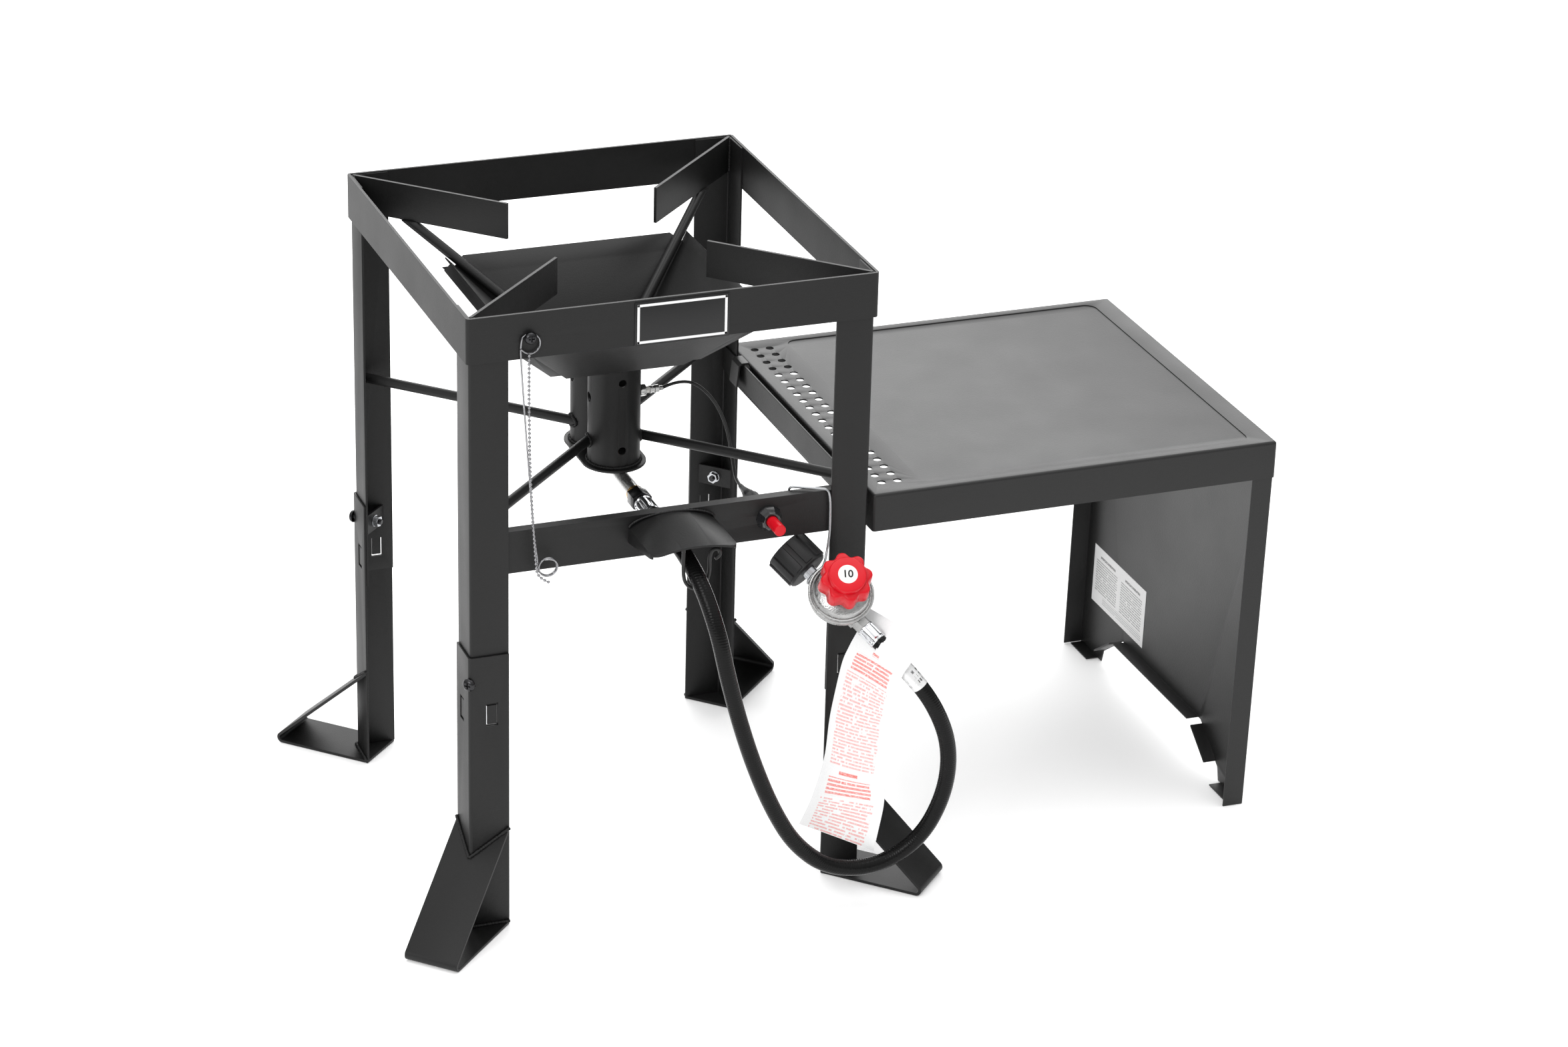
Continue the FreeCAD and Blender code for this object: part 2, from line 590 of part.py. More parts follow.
def lead_boots():
    """The push-on connector at the electrode and the tapered boot at the igniter."""
    port = V(0, -TUBE_Y, ELECTRODE_Z)
    connector = merge(bar(port + X * 36, port + X * 46, 4.0), bar(port + X * 46, port + X * 50, 2.6))
    back = V(IGNITER.x, BARREL_BACK, IGNITER.z)
    boot = merge(bar(back, back + Y * 9, 6.0), Part.makeCone(5.0, 2.4, 22, back + Y * 9, Y))
    return group([connector, boot])


# The lead leaves the connector to the right, arches over and drops behind the
# crossbar, where it turns forward into the igniter's boot.
LEAD_ROUTE = along([(50, -27, 469), (62, -28.5, 474.5), (80, -37, 475.5), (95.5, -53, 460.5),
                    (102, -71, 438), (102, -85, 416), (101, -97, 401), (99.5, -107.5, 396.8),
                    (99, -119, 396.5)])
LEAD_D = 3.2

nodes["igniter_bezel"] = igniter_bezel()
nodes["igniter_barrel"] = igniter_barrel()
nodes["igniter_plunger"] = igniter_plunger()
nodes["igniter_electrode"] = electrode()
nodes["igniter_boots"] = lead_boots()
nodes["igniter_lead"] = swept(LEAD_ROUTE, LEAD_D, "igniter_lead").cut(nodes["igniter_boots"])


# ----------------------------------------------------------------- regulator
# Drawn with its rim at the origin, the knob along +Z and the hose outlet along
# +X, then placed as it hangs from its hook.
REG_ROTATION = (FreeCAD.Rotation(Z, REG_TURN) * FreeCAD.Rotation(Y, REG_TILT)
                * FreeCAD.Rotation(Z, REG_ROLL))
REG_PLACE = FreeCAD.Placement(REG_CENTRE, REG_ROTATION)


def hung(shape):
    copy = shape.copy()
    copy.Placement = REG_PLACE.multiply(copy.Placement)
    return copy


def reg_point(x, y=0.0, z=-BARREL_DROP):
    """A point given in the regulator's own axes."""
    return REG_PLACE.multVec(V(x, y, z))


def reg_body():
    """The cast lower half: rim, tapered belly, cross barrel and outlet hexagon."""
    belly = spun([(0, -28), (11, -28), (13, -26), (15, -15), (23, -9), (REG_R, -5), (REG_R, 0), (0, 0)])
    barrel = bar(V(-27, 0, -BARREL_DROP), V(27, 0, -BARREL_DROP), 10.0)
    outlet = hexagon(V(27, 0, -BARREL_DROP), V(37, 0, -BARREL_DROP), 15.0)
    return merge(belly, barrel, outlet)


def reg_bonnet():
    """The upper half: crimped rim, dome and threaded neck, hollow for its spring."""
    shell = spun([(0, 1), (32, 1), (32, 3.6), (29, 5), (27.5, 8.5), (20, 13), (13.5, 15),
                  (11, 20), (0, 20)])
    hollow = spun([(0, 0.9), (26, 0.9), (24.5, 6), (17, 10.5), (10.5, 12.5), (8.5, 18), (0, 18)])
    return shell.cut(hollow).cut(bar(V(0, 0, 17), V(0, 0, 21), 4.1))


def reg_knob():
    """A hand wheel with eight round lobes, a raised cap and a stem."""
    lobes = [turned(bar(V(20.6, 0, 23), V(20.6, 0, 43), 5.4), 45 * k) for k in range(8)]
    wheel = merge(bar(V(0, 0, 23), V(0, 0, 43), 22.0), *lobes)
    cap = Part.makeCone(19.0, 18.0, 6.0, V(0, 0, 43), Z)
    return merge(wheel, cap, bar(V(0, 0, 14), V(0, 0, 23), 4.0))


def inlet_nipple():
    """The regulator's inlet: neck, retaining flange and the nose that enters the
    cylinder valve."""
    start = V(0, 0, -BARREL_DROP)
    return merge(bar(start - X * 27, start - X * 48, 7.0), bar(start - X * 48, start - X * 51, 12.0),
                 bar(start - X * 51, start - X * 66, 5.0)).cut(bar(start - X * 30, start - X * 67, 2.0))


def coupling_nut():
    """The hand nut that screws onto the cylinder valve: ten grip ribs, open mouth."""
    start = V(-41, 0, -BARREL_DROP)
    mouth = start - X * 32
    ribs = []
    for k in range(10):
        rib = box((-31, -3), (-4.2, 4.2), (18, 23))
        rib.rotate(V(0, 0, 0), X, 36 * k)
        rib.translate(start)
        ribs.append(rib)
    nut = merge(bar(start, mouth, 21.4), *ribs)
    nut = nut.common(merge(bar(start - X * 3, mouth, 23.0), Part.makeCone(20.0, 23.0, 3, start, -X)))
    return nut.cut(bar(start + X, mouth - X, 7.3)).cut(bar(start - X * 5.5, mouth - X, 16.7))


regulator = {"regulator_body": reg_body(), "regulator_bonnet": reg_bonnet(),
             "regulator_diaphragm": bar(V(0, 0, 0), V(0, 0, 1), 30.0),
             "regulator_knob": reg_knob(), "inlet_nipple": inlet_nipple(),
             "coupling_nut": coupling_nut()}
for node, shape in regulator.items():
    nodes[node] = hung(shape)


def regulator_hook():
    """A wire over the crossbar's top flange, down its front and round the
    regulator's inlet neck."""
    neck_r = 9.7
    turns = [reg_point(-34.0 + 0.25 * k, neck_r * math.cos(a), -BARREL_DROP + neck_r * math.sin(a))
             for k, a in enumerate(math.radians(d) for d in range(62, 312, 50))]
    wire = along([(124, -184.4, 400.5), (124, -184.4, 410.5), (124, -184.6, 420.3), (132, -188.2, 420.1),
                  (141, -192.5, 419.9), (150, -197, 419.9), (158, -201.2, 419.9), (160, -201.6, 410.5),
                  (160.8, -201.4, 398), (160.8, -201.4, 372), (158.5, -202, 356)])
    wire.append(reg_point(-34.0, 13.5, -BARREL_DROP + 4.5))
    return swept(wire + turns, 2.4)


nodes["regulator_hook"] = regulator_hook()

# ------------------------------------------------------------ hose and fittings
HOSE_START = V(0, FERRULE_Y, PIPE_Z)
HOSE_END = reg_point(56)
OUTLET = reg_point(1) - reg_point(0)
# The hose runs forward through the crossbar, bends down over the hanger, hangs
# in one open loop close to the floor and climbs back to the regulator.
HOSE_ROUTE = [HOSE_START] + along([
    (0, -184, 390), (2, -222, 388), (8, -260, 370), (16, -288, 330), (25, -291, 284),
    (39, -289, 232), (57, -285, 178), (79, -281, 125), (104, -278, 81), (140, -277, 49),
    (189, -280, 43), (233, -286, 70), (252.5, -297, 124), (251, -307, 180),
    (232.5, -309, 228)]) + [HOSE_END + OUTLET * 40, HOSE_END]
nodes["gas_hose"] = swept(HOSE_ROUTE, HOSE_D, "gas_hose")
nodes["hose_ferrules"] = group([
    bar(V(0, NUT_Y, PIPE_Z), HOSE_START, 9.5), bar(reg_point(37), HOSE_END, 9.0)])
hose_line = centre_line(HOSE_ROUTE)[0].discretize(Distance=1.0)    # a point each millimetre
nodes["hose_band"] = pipe(hose_line[-BAND_FROM_END[0]], hose_line[-BAND_FROM_END[1]], 9.9, 9.4)

# The tag's two long edges, from just under the hose to its free end.
TAG_LEFT = along([(166, -230, 252), (158, -229, 200), (151, -229, 143), (141, -229, 106), (126, -232, 77)])
TAG_RIGHT = along([(197, -294, 243), (193, -292, 205), (190, -290, 150), (192, -286, 112),
                   (189, -274, 58)])
TAG_T = 1.2


def hose_tag():
    sections = []
    for left, right in zip(TAG_LEFT, TAG_RIGHT):
        across = right - left
        push = across.cross(Z)
        push.normalize()
        push = push * TAG_T
        sections.append(Part.makePolygon([left, right, right + push, left + push, left]))
    return Part.makeLoft(sections, True, True)


nodes["hose_tag"] = hose_tag()


# ---------------------------------------------------------------- side table
def side_table_top():
    """A pan with a folded skirt, two rows of vent holes and a shallow field."""
    low = TABLE_TOP - TABLE_SKIRT
    t = TABLE_T
    pan = box(TABLE_X, (-TABLE_HALF, TABLE_HALF), (low, TABLE_TOP))
    pan = rounded(pan, 3.0, lambda e: e.BoundBox.ZMin > low + 1 or upright(e))
    pan = pan.cut(box((TABLE_X[0] + t, TABLE_X[1] - t), (t - TABLE_HALF, TABLE_HALF - t),
                      (low - 1, TABLE_TOP - t)))
    press = box((FIELD_X[0] - t, FIELD_X[1] + t), (-FIELD_HALF - t, FIELD_HALF + t),
                (TABLE_TOP - t - FIELD_DEPTH, TABLE_TOP - t))
    field = box(FIELD_X, (-FIELD_HALF, FIELD_HALF), (TABLE_TOP - FIELD_DEPTH, TABLE_TOP + 5))
    corners = lambda e: e.BoundBox.ZLength > 0.5 and e.BoundBox.XLength < 0.01 and e.BoundBox.YLength < 0.01
    pan = merge(pan, rounded(press, FIELD_R + t, corners)).cut(rounded(field, FIELD_R, corners))
    first = -(HOLE_COUNT - 1) / 2 * HOLE_PITCH
    vents = [bar(V(x, first + k * HOLE_PITCH, TABLE_TOP - 10), V(x, first + k * HOLE_PITCH, TABLE_TOP + 5), HOLE_R)
             for x in HOLE_ROWS_X for k in range(HOLE_COUNT)]
    return pan.cut(group(vents))


def mirrored_outline(half):
    """Close a half outline of (y, z) points with its mirror image."""
    return half + [(-y, z) for y, z in reversed(half)]


def leaned(shape):
    """Tip the panel leg's foot in under the table, about its top outer edge."""
    shape.rotate(V(TABLE_X[1] - TABLE_T, 0, PANEL_TOP), Y, PANEL_LEAN)
    return shape


def side_table_leg():
    """The panel leg: folded edges front and back, and an arch cut out of its foot
    whose edges are folded in as stiffeners."""
    outer = TABLE_X[1] - TABLE_T
    inner = outer - TABLE_T
    edge = TABLE_HALF - TABLE_T
    panel = box((inner, outer), (-edge, edge), (0, PANEL_TOP))
    arch = mirrored_outline([ARCH_FOOT, ARCH_LOW, ARCH_TOP])
    panel = panel.cut(slab([V(inner - 5, y, z) for y, z in arch], X * 20))
    folds = []
    for side in (-1, 1):
        sides = sorted((side * edge, side * (edge - TABLE_T)))
        folds.append(box((outer - PANEL_FLANGE, outer), sides, (0, PANEL_TOP)))
        sides = sorted((side * (ARCH_FOOT[0] + 8), side * (edge - TABLE_T - 3)))
        folds.append(box((inner - 14, outer), sides, (0, TABLE_T)))
        brace = [V(inner - 14, side * y, z) for y, z in ((138, 18.1), (102, 42.9), (102, 44.9), (138, 20.1))]
        folds.append(slab(brace, X * (14 + TABLE_T)))
    folds.append(box((inner - 14, outer), (-92, 92), (ARCH_TOP[1], ARCH_TOP[1] + TABLE_T)))
    return leaned(merge(panel, *folds))


def table_hook(y):
    """A strip from the pan's skirt up over the side crossbar and down behind it."""
    skirt, t = TABLE_X[0], HOOK_T
    over, tail = SIDE_BAR_Z[1] + 0.3, 191.0
    profile = [(skirt, 385), (skirt, 407), (skirt - 3, over + t), (tail + 3, over + t), (tail, over - 1),
               (tail - 2.5, 386), (tail - 0.5, 386), (tail + t, over - 1.5), (tail + t + 2, over),
               (skirt - t - 2, over), (skirt - t, over - 3), (skirt - t, 385)]
    return slab([V(px, y - HOOK_W / 2, pz) for px, pz in profile], Y * HOOK_W)


nodes["side_table_top"] = side_table_top()
nodes["side_table_leg"] = side_table_leg()
nodes["side_table_hooks"] = group([table_hook(-HOOK_Y), table_hook(HOOK_Y)])
panel_face = TABLE_X[1] - 2 * TABLE_T
nodes["safety_label"] = leaned(box((panel_face - 0.3, panel_face), (50, 181), LABEL_Z))


# ------------------------------------------------------ small front furniture
def match_screw():
    """Pan-head screw and nut that hold the match holder's loop on the ring."""
    head = spun([(0, 0), (6, 0), (6, 1.6), (4.8, 3.4), (2.4, 4.4), (0, 4.4)])
    for k in range(2):
        head = head.cut(turned(box((-2.8, 2.8), (-0.6, 0.6), (2.2, 6)), 90 * k))
    under = SCREW - Y * 3.0
    head.Placement = FreeCAD.Placement(under, FreeCAD.Rotation(Z, -Y))
    screw = merge(head, bar(under, SCREW + Y * 10, 2.5))
    nut = hexagon(SCREW + Y * 3, SCREW + Y * 7, 8.0).cut(bar(SCREW, SCREW + Y * 12, 2.5))
    return group([screw, nut])


HOLDER_WIRE_R, HOLDER_LOOP_R, HOLDER_COIL_R = 0.9, 9.6, 9.0
HOLDER_LOOP = SCREW - Y * 1.5 - Z * (HOLDER_LOOP_R - HOLDER_WIRE_R - 2.5 - 0.1)
HOLDER_COIL = V(-126.6, -207.6, 382.0)


def wound(centre, radius, start, turn_degrees, forward):
    """Corners of a turn of wire seen from the front, stepped forward as it winds."""
    steps = round(turn_degrees / 45)
    corner_r = radius / math.cos(math.radians(22.5))
    points = []
    for k in range(steps + 1):
        a = math.radians(start + turn_degrees * k / steps)
        points.append(centre + V(corner_r * math.cos(a), -forward(k / steps), corner_r * math.sin(a)))
    return points


def match_holder():
    """One wire: a handle loop on top, a long shank, and a two-turn coil that grips
    a match."""
    loop = wound(HOLDER_LOOP, HOLDER_LOOP_R, -157.5, 315, lambda share: 2.0 * (1 - share) ** 2)
    shank = [V(-150.6, -205.2, 575), V(-145.6, -206.2, 500), V(-139, -207.2, 410)]
    coil = wound(HOLDER_COIL, HOLDER_COIL_R, 157.5, 675, lambda share: 4.2 * share)
    return swept(loop + shank + coil, 2 * HOLDER_WIRE_R)


CHAIN_D = 3.0
CHAIN_ROUTE = along([(-144.4, -207.6, 597.6), (-144.9, -208.6, 568), (-144.9, -209.5, 530),
                     (-144.4, -210.2, 486), (-142.8, -211.2, 445), (-140.6, -212, 408),
                     (-139.2, -212.6, 385), (-136.8, -212.9, 373.5), (-127, -212.9, 367.8)])

nodes["match_screw"] = match_screw()
nodes["match_holder"] = match_holder()
nodes["bead_chain"] = swept(CHAIN_ROUTE, CHAIN_D, "bead_chain")
name_plate = box(PLATE_X, (-RING_HALF - 1.2, -RING_HALF), NAME_Z)
nodes["name_plate"] = rounded(name_plate, 1.5, lambda e: e.BoundBox.YLength > 1
                              and e.BoundBox.XLength < 0.01 and e.BoundBox.ZLength < 0.01)


# ---------------------------------------------------------------------- save
def save(name, shape):
    moved = shape.copy()
    moved.translate(TO_ORIGIN)
    if not moved.isValid() or not moved.Solids:
        print("CHECK", name, "valid", moved.isValid(), "solids", len(moved.Solids))
    moved.exportStep("parts/%s.step" % name)


os.makedirs("parts", exist_ok=True)
for name, shape in nodes.items():
    save(name, shape)
print("nodes", len(nodes), "origin moved by %.3f" % TO_ORIGIN.x)
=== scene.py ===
"""A propane burner stand with a hook-on side table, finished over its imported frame.

Sizes are millimetres from the middle of the stand on the floor: x right along its
front, y to the back, z up.  at() and piece() carry them into the frame's metres."""
import json
import math

import bmesh
import bpy
from mathutils import Matrix, Vector

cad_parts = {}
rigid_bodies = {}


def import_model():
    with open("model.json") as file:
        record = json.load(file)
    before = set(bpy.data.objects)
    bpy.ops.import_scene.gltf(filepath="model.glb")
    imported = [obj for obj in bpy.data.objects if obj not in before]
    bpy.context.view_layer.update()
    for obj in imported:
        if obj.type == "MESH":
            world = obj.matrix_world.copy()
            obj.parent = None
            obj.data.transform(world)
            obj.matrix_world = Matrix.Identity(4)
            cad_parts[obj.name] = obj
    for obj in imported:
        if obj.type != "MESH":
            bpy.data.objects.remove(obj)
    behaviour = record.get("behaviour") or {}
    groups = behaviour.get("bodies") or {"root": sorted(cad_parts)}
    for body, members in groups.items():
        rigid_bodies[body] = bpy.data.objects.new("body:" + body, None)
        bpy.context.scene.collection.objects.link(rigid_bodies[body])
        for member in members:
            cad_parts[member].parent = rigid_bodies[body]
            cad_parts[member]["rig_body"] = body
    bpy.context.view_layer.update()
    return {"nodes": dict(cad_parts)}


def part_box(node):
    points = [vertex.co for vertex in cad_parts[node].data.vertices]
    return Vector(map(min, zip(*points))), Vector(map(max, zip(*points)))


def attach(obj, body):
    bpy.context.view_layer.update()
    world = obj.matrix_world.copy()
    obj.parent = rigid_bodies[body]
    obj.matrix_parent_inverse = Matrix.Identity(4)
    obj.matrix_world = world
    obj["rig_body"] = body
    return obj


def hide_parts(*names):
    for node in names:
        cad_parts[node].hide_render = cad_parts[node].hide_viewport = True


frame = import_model()
nodes = frame["nodes"]
ring_low, ring_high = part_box("top_ring")
STAND = Matrix.Translation(((ring_low.x + ring_high.x) / 2, 0, 0)) @ Matrix.Scale(0.001, 4)

RING_FACE = -203.0                    # front face of the top ring
LEG_INNER = 198.0                     # inner faces of the upper legs
LEG_FACE = 202.2                      # outer faces of the lower legs
LEG_U = LEG_INNER * math.sqrt(2)      # an upper leg's inside corner along the diagonal
HEEL_U = LEG_FACE * math.sqrt(2)      # a lower leg's heel along the diagonal
TUBE_R, TUBE_Y = 26.0, 27.0           # the burner tubes, one before and one behind
PIPE_Z, BURNER_ROD_Z = 390.0, 422.7
ROD_R = 5.0
BOLT_Z, ELECTRODE_Z = 266.0, 469
HOSE_LENGTH, HOSE_D = 830.0, 16.0
LEAD_D, CHAIN_D = 3.2, 3.0
TAG_WIDTH, TAG_LENGTH, TAG_THICK = 78.0, 270.0, 0.35
BAND_ROUND, BAND_LONG = 60.0, 24.0    # the printed band laid flat
BAND_FROM_END = (0.035, 0.059)        # along the hose from the regulator, in metres
LABEL_Y, LABEL_TOP = 50, 128          # the panel label's front edge and its top
CORNERS = {"br": 45, "bl": 135, "fl": 225, "fr": 315}


def at(point):
    """A point in stand millimetres, in the frame's metres."""
    return STAND @ Vector(point)


def linked(name, data):
    """A new object in the scene."""
    thing = bpy.data.objects.new(name, data)
    bpy.context.scene.collection.objects.link(thing)
    return thing


def meshed(thing):
    """The plain mesh of an object with its modifiers run.  The object goes."""
    bpy.context.view_layer.update()
    run = thing.evaluated_get(bpy.context.evaluated_depsgraph_get())
    mesh = bpy.data.meshes.new_from_object(run)
    bpy.data.objects.remove(thing)
    return mesh


# ------------------------------------------------------------------ node trees
class Tie:
    """A node's output that can be used in sums: each operator adds a Math node."""

    def __init__(self, tree, node, output=0):
        self.tree, self.node, self.socket = tree, node, node.outputs[output]

    def out(self, output):
        return Tie(self.tree, self.node, output)

    def maths(self, operation, *others):
        values = dict(enumerate((self,) + others))
        return self.tree.add("ShaderNodeMath", {"operation": operation}, values)

    def __add__(self, other):
        return self.maths("ADD", other)

    def __mul__(self, other):
        return self.maths("MULTIPLY", other)

    __radd__, __rmul__ = __add__, __mul__

    def __sub__(self, other):
        return self.maths("SUBTRACT", other)

    def __rsub__(self, other):
        return self * -1 + other

    def __truediv__(self, other):
        return self.maths("DIVIDE", other)

    def over(self, limit):
        return self.maths("GREATER_THAN", limit)

    def under(self, limit):
        return self.maths("LESS_THAN", limit)

    def within(self, low, high):
        return self.over(low) * self.under(high)


class Tree:
    """A node tree written as calls: add() makes a node, sets it, then feeds its sockets."""

    def __init__(self, tree):
        self.tree = tree

    def add(self, kind, settings=None, inputs=None, output=0):
        node = self.tree.nodes.new(kind)
        for key, value in (settings or {}).items():
            if key == "stops":
                ramp = node.color_ramp
                while len(ramp.elements) < len(value):
                    ramp.elements.new(0.5)
                for element, (place, colour) in zip(ramp.elements, value):
                    element.position, element.color = place, colour
            else:
                setattr(node, key, value)
        for place, value in (inputs or {}).items():
            self.feed(node, place, value)
        return Tie(self, node, output)

    def feed(self, node, place, value):
        if isinstance(value, Tie):
            self.tree.links.new(value.socket, node.inputs[place])
        else:
            node.inputs[place].default_value = value


def rgb(*values):
    return (*values, 1.0) if len(values) == 3 else (values[0],) * 3 + (1.0,)


class Finish(Tree):
    """A material: its tree, and the Principled shader that everything ends in."""

    def __init__(self, name, roughness=0.5, metallic=0.0, **fixed):
        self.material = bpy.data.materials.new(name)
        self.material.use_nodes = True
        super().__init__(self.material.node_tree)
        self.tree.nodes.clear()
        self.shader = self.tree.nodes.new("ShaderNodeBsdfPrincipled")
        end = self.tree.nodes.new("ShaderNodeOutputMaterial")
        self.tree.links.new(self.shader.outputs[0], end.inputs[0])
        self.set("Roughness", roughness)
        self.set("Metallic", metallic)
        for key, value in fixed.items():
            self.set(key.replace("_", " ").title().replace("Ior", "IOR"), value)

    def set(self, place, value):
        self.feed(self.shader, place, value)

    def object_place(self):
        return self.add("ShaderNodeTexCoord", output="Object")

    def own_map(self):
        """The piece's own map: across (or round) and along, each from 0 to 1."""
        across, along, _ = self.axes(self.add("ShaderNodeTexCoord", output="UV"))
        return across, along

    def axes(self, vector):
        split = self.add("ShaderNodeSeparateXYZ", None, {0: vector})
        return split, split.out(1), split.out(2)

    def vector(self, x, y, z=0.0):
        return self.add("ShaderNodeCombineXYZ", None, {0: x, 1: y, 2: z})

    def noise(self, vector, scale, detail=2.0, roughness=0.5):
        return self.add("ShaderNodeTexNoise", None, {"Vector": vector, "Scale": scale,
                                                     "Detail": detail, "Roughness": roughness})

    def cells(self, vector, scale):
        return self.add("ShaderNodeTexVoronoi", None, {"Vector": vector, "Scale": scale})

    def blend(self, share, low, high):
        return self.add("ShaderNodeMix", {"data_type": "RGBA"}, {0: share, 6: low, 7: high}, 2)

    def bump(self, height, strength, distance, under=None):
        inputs = {"Height": height, "Strength": strength, "Distance": distance}
        if under:
            inputs["Normal"] = under
        return self.add("ShaderNodeBump", None, inputs)


# ------------------------------------------------------------------- finishes
def powder_coat(name, dark, light, roughness):
    """Baked powder paint: a fine orange peel with a slightly uneven satin gloss."""
    f = Finish(name, specular_ior_level=0.3)
    place = f.object_place()
    broad = f.noise(place, 17.0, 3.0)
    grain = f.noise(place, 1500.0, 2.0)
    f.set("Base Color", f.blend(broad * 0.6 + grain * 0.4, rgb(dark), rgb(light)))
    f.set("Roughness", grain * 0.10 + broad * 0.10 + (roughness - 0.10))
    peel = f.bump(f.noise(place, 620.0, 2.0), 0.22, 0.0004)
    f.set("Normal", f.bump(grain, 0.16, 0.0002, peel))
    return f.material


def bare_metal(name, colour, roughness, spread=0.08, scale=300.0, bump=0.05):
    """Plated or bare metal with handling marks that change its gloss."""
    f = Finish(name, metallic=1.0)
    place = f.object_place()
    marks = f.noise(place, scale, 4.0, 0.6)
    shade = f.noise(place, scale / 12, 2.0)
    f.set("Base Color", f.blend(shade, rgb(*(c * 0.84 for c in colour)), rgb(*colour)))
    f.set("Roughness", marks * (2 * spread) + (roughness - spread))
    f.set("Normal", f.bump(marks, bump, 0.0002))
    return f.material


def cast_zinc(name):
    """Raw die-cast zinc: pebbled skin, with a painted highlight on the high spots and painted shade in
    the low ones.
    """
    f = Finish(name, metallic=1.0)
    place = f.object_place()
    pebbles = f.cells(place, 900.0)
    haze_and_painted_shade = f.noise(place, 160.0, 4.0)
    # painted highlight and shade: the colour is lighter where the same noise raises the skin and darker
    # in its hollows
    f.set("Base Color", f.blend(haze_and_painted_shade, rgb(0.25, 0.25, 0.247), rgb(0.50, 0.50, 0.495)))
    f.set("Roughness", haze_and_painted_shade * 0.22 + 0.18)
    f.set("Normal", f.bump(pebbles, 0.3, 0.0005, f.bump(haze_and_painted_shade, 0.2, 0.0004)))
    return f.material


def moulded(name, colour, roughness, grain=900.0, strength=0.12, coat=0.0, shine=0.3):
    """Moulded plastic with a faint tool texture and soft cloudiness."""
    f = Finish(name, coat_weight=coat, coat_roughness=0.12, specular_ior_level=shine)
    place = f.object_place()
    texture = f.noise(place, grain, 2.0)
    cloud = f.noise(place, 60.0, 2.0)
    f.set("Base Color", f.blend(cloud, rgb(*(c * 0.86 for c in colour)), rgb(*colour)))
    f.set("Roughness", texture * 0.10 + cloud * 0.06 + (roughness - 0.08))
    f.set("Normal", f.bump(texture, strength, 0.0002))
    return f.material


def hose_rubber(name, length, pitch=2.6):
    """Black hose cover: the fine slanting ribs that its braid leaves, with a dull bloom."""
    f = Finish(name, specular_ior_level=0.13)
    round_, along = f.own_map()
    ribs = along * (length / pitch)
    rib = ((ribs + round_ * 3.0).maths("FRACT") - 0.5).maths("ABSOLUTE") * 2
    braid = (round_ * 22.0 - ribs * 0.5).maths("PINGPONG", 0.5)
    place = f.object_place()
    bloom = f.noise(place, 45.0, 3.0)
    f.set("Base Color", f.blend(bloom, rgb(0.003), rgb(0.007)))
    f.set("Roughness", bloom * 0.12 + 0.17)
    f.set("Normal", f.bump(rib * 0.7 + braid * 0.5, 0.35, 0.0004))
    return f.material


def lines_of_print(f, across, along, first, last, pitch, margin, width, weight=0.3, words=0.42):
    """Where ink falls for rows of made-up print: row stripes broken into words."""
    row = (along / pitch).maths("FLOOR")
    stripe = ((along / pitch).maths("FRACT") - 0.5).maths("ABSOLUTE").under(weight)
    word = f.noise(f.vector(across * 0.22, row * 7.31), 1.0, 1.0).over(words)
    stroke = f.noise(f.vector(across * 1.5, row * 3.17, along * 0.9), 1.0, 1.0).over(0.40)
    end = f.noise(f.vector(row * 5.7, 0.5), 1.0, 0.0) * (0.5 * margin) + (width - 1.5 * margin)
    return stripe * word * stroke * across.over(margin) * across.under(end) * along.within(first, last)


TAG_PRINT = [                         # first, last, pitch, margin, weight, words and ink
    (70, 166, 3.6, 9, 0.26, 0.42, 0.55), (202, 262, 3.6, 9, 0.26, 0.42, 0.55),
    (44, 67, 4.5, 12, 0.3, 0.3, 0.8), (178, 199, 4.5, 12, 0.3, 0.3, 0.8),
    (36, 41, 5.0, 31, 0.36, 0.0, 0.9), (170, 175, 5.0, 24, 0.36, 0.0, 0.9)]


def tag_card(name, width, length):
    """White tag card with two blocks of red made-up print under bolder headings."""
    f = Finish(name, specular_ior_level=0.35)
    u, v = f.own_map()
    across, along = u * width, v * length
    ink = 0.0
    for first, last, pitch, margin, weight, words, dark in TAG_PRINT:
        rows = lines_of_print(f, across, along, first, last, pitch, margin, width, weight, words)
        ink = rows * dark + ink
    place = f.object_place()
    fibre = f.noise(place, 700.0, 3.0)
    paper = f.blend(fibre, rgb(0.80, 0.80, 0.80), rgb(0.90, 0.90, 0.90))
    f.set("Base Color", f.blend(ink, paper, rgb(0.78, 0.10, 0.07)))
    f.set("Roughness", fibre * 0.15 + 0.45)
    f.set("Normal", f.bump(fibre, 0.12, 0.0002, f.bump(f.noise(place, 28.0, 2.0), 0.3, 0.002)))
    return f.material


def panel_label(name):
    """White panel label: two columns of small grey print under a dark heading bar."""
    f = Finish(name, specular_ior_level=0.5)
    place = f.object_place()
    _, y, z = f.axes(place)
    across = y * 1000 - LABEL_Y
    down = LABEL_TOP - z * 1000
    ink = 0.0
    for left, right in ((6.0, 62.0), (69.0, 125.0)):
        column, wide = across - left, right - left
        ink = lines_of_print(f, column, down, 14, 52, 2.9, 2, wide + 2, 0.24, 0.36) * 0.7 + ink
        ink = lines_of_print(f, column, down, 8, 12, 4.0, 8, wide, 0.36, 0.0) * 0.9 + ink
    ink = lines_of_print(f, across, down, 54, 62, 2.4, 6, 112.0, 0.22, 0.3) * 0.5 + ink
    grain = f.noise(place, 500.0, 2.0)
    f.set("Base Color", f.blend(ink, f.blend(grain, rgb(0.72), rgb(0.82)), rgb(0.06)))
    f.set("Roughness", grain * 0.1 + 0.32)
    f.set("Normal", f.bump(grain, 0.08, 0.0002))
    return f.material


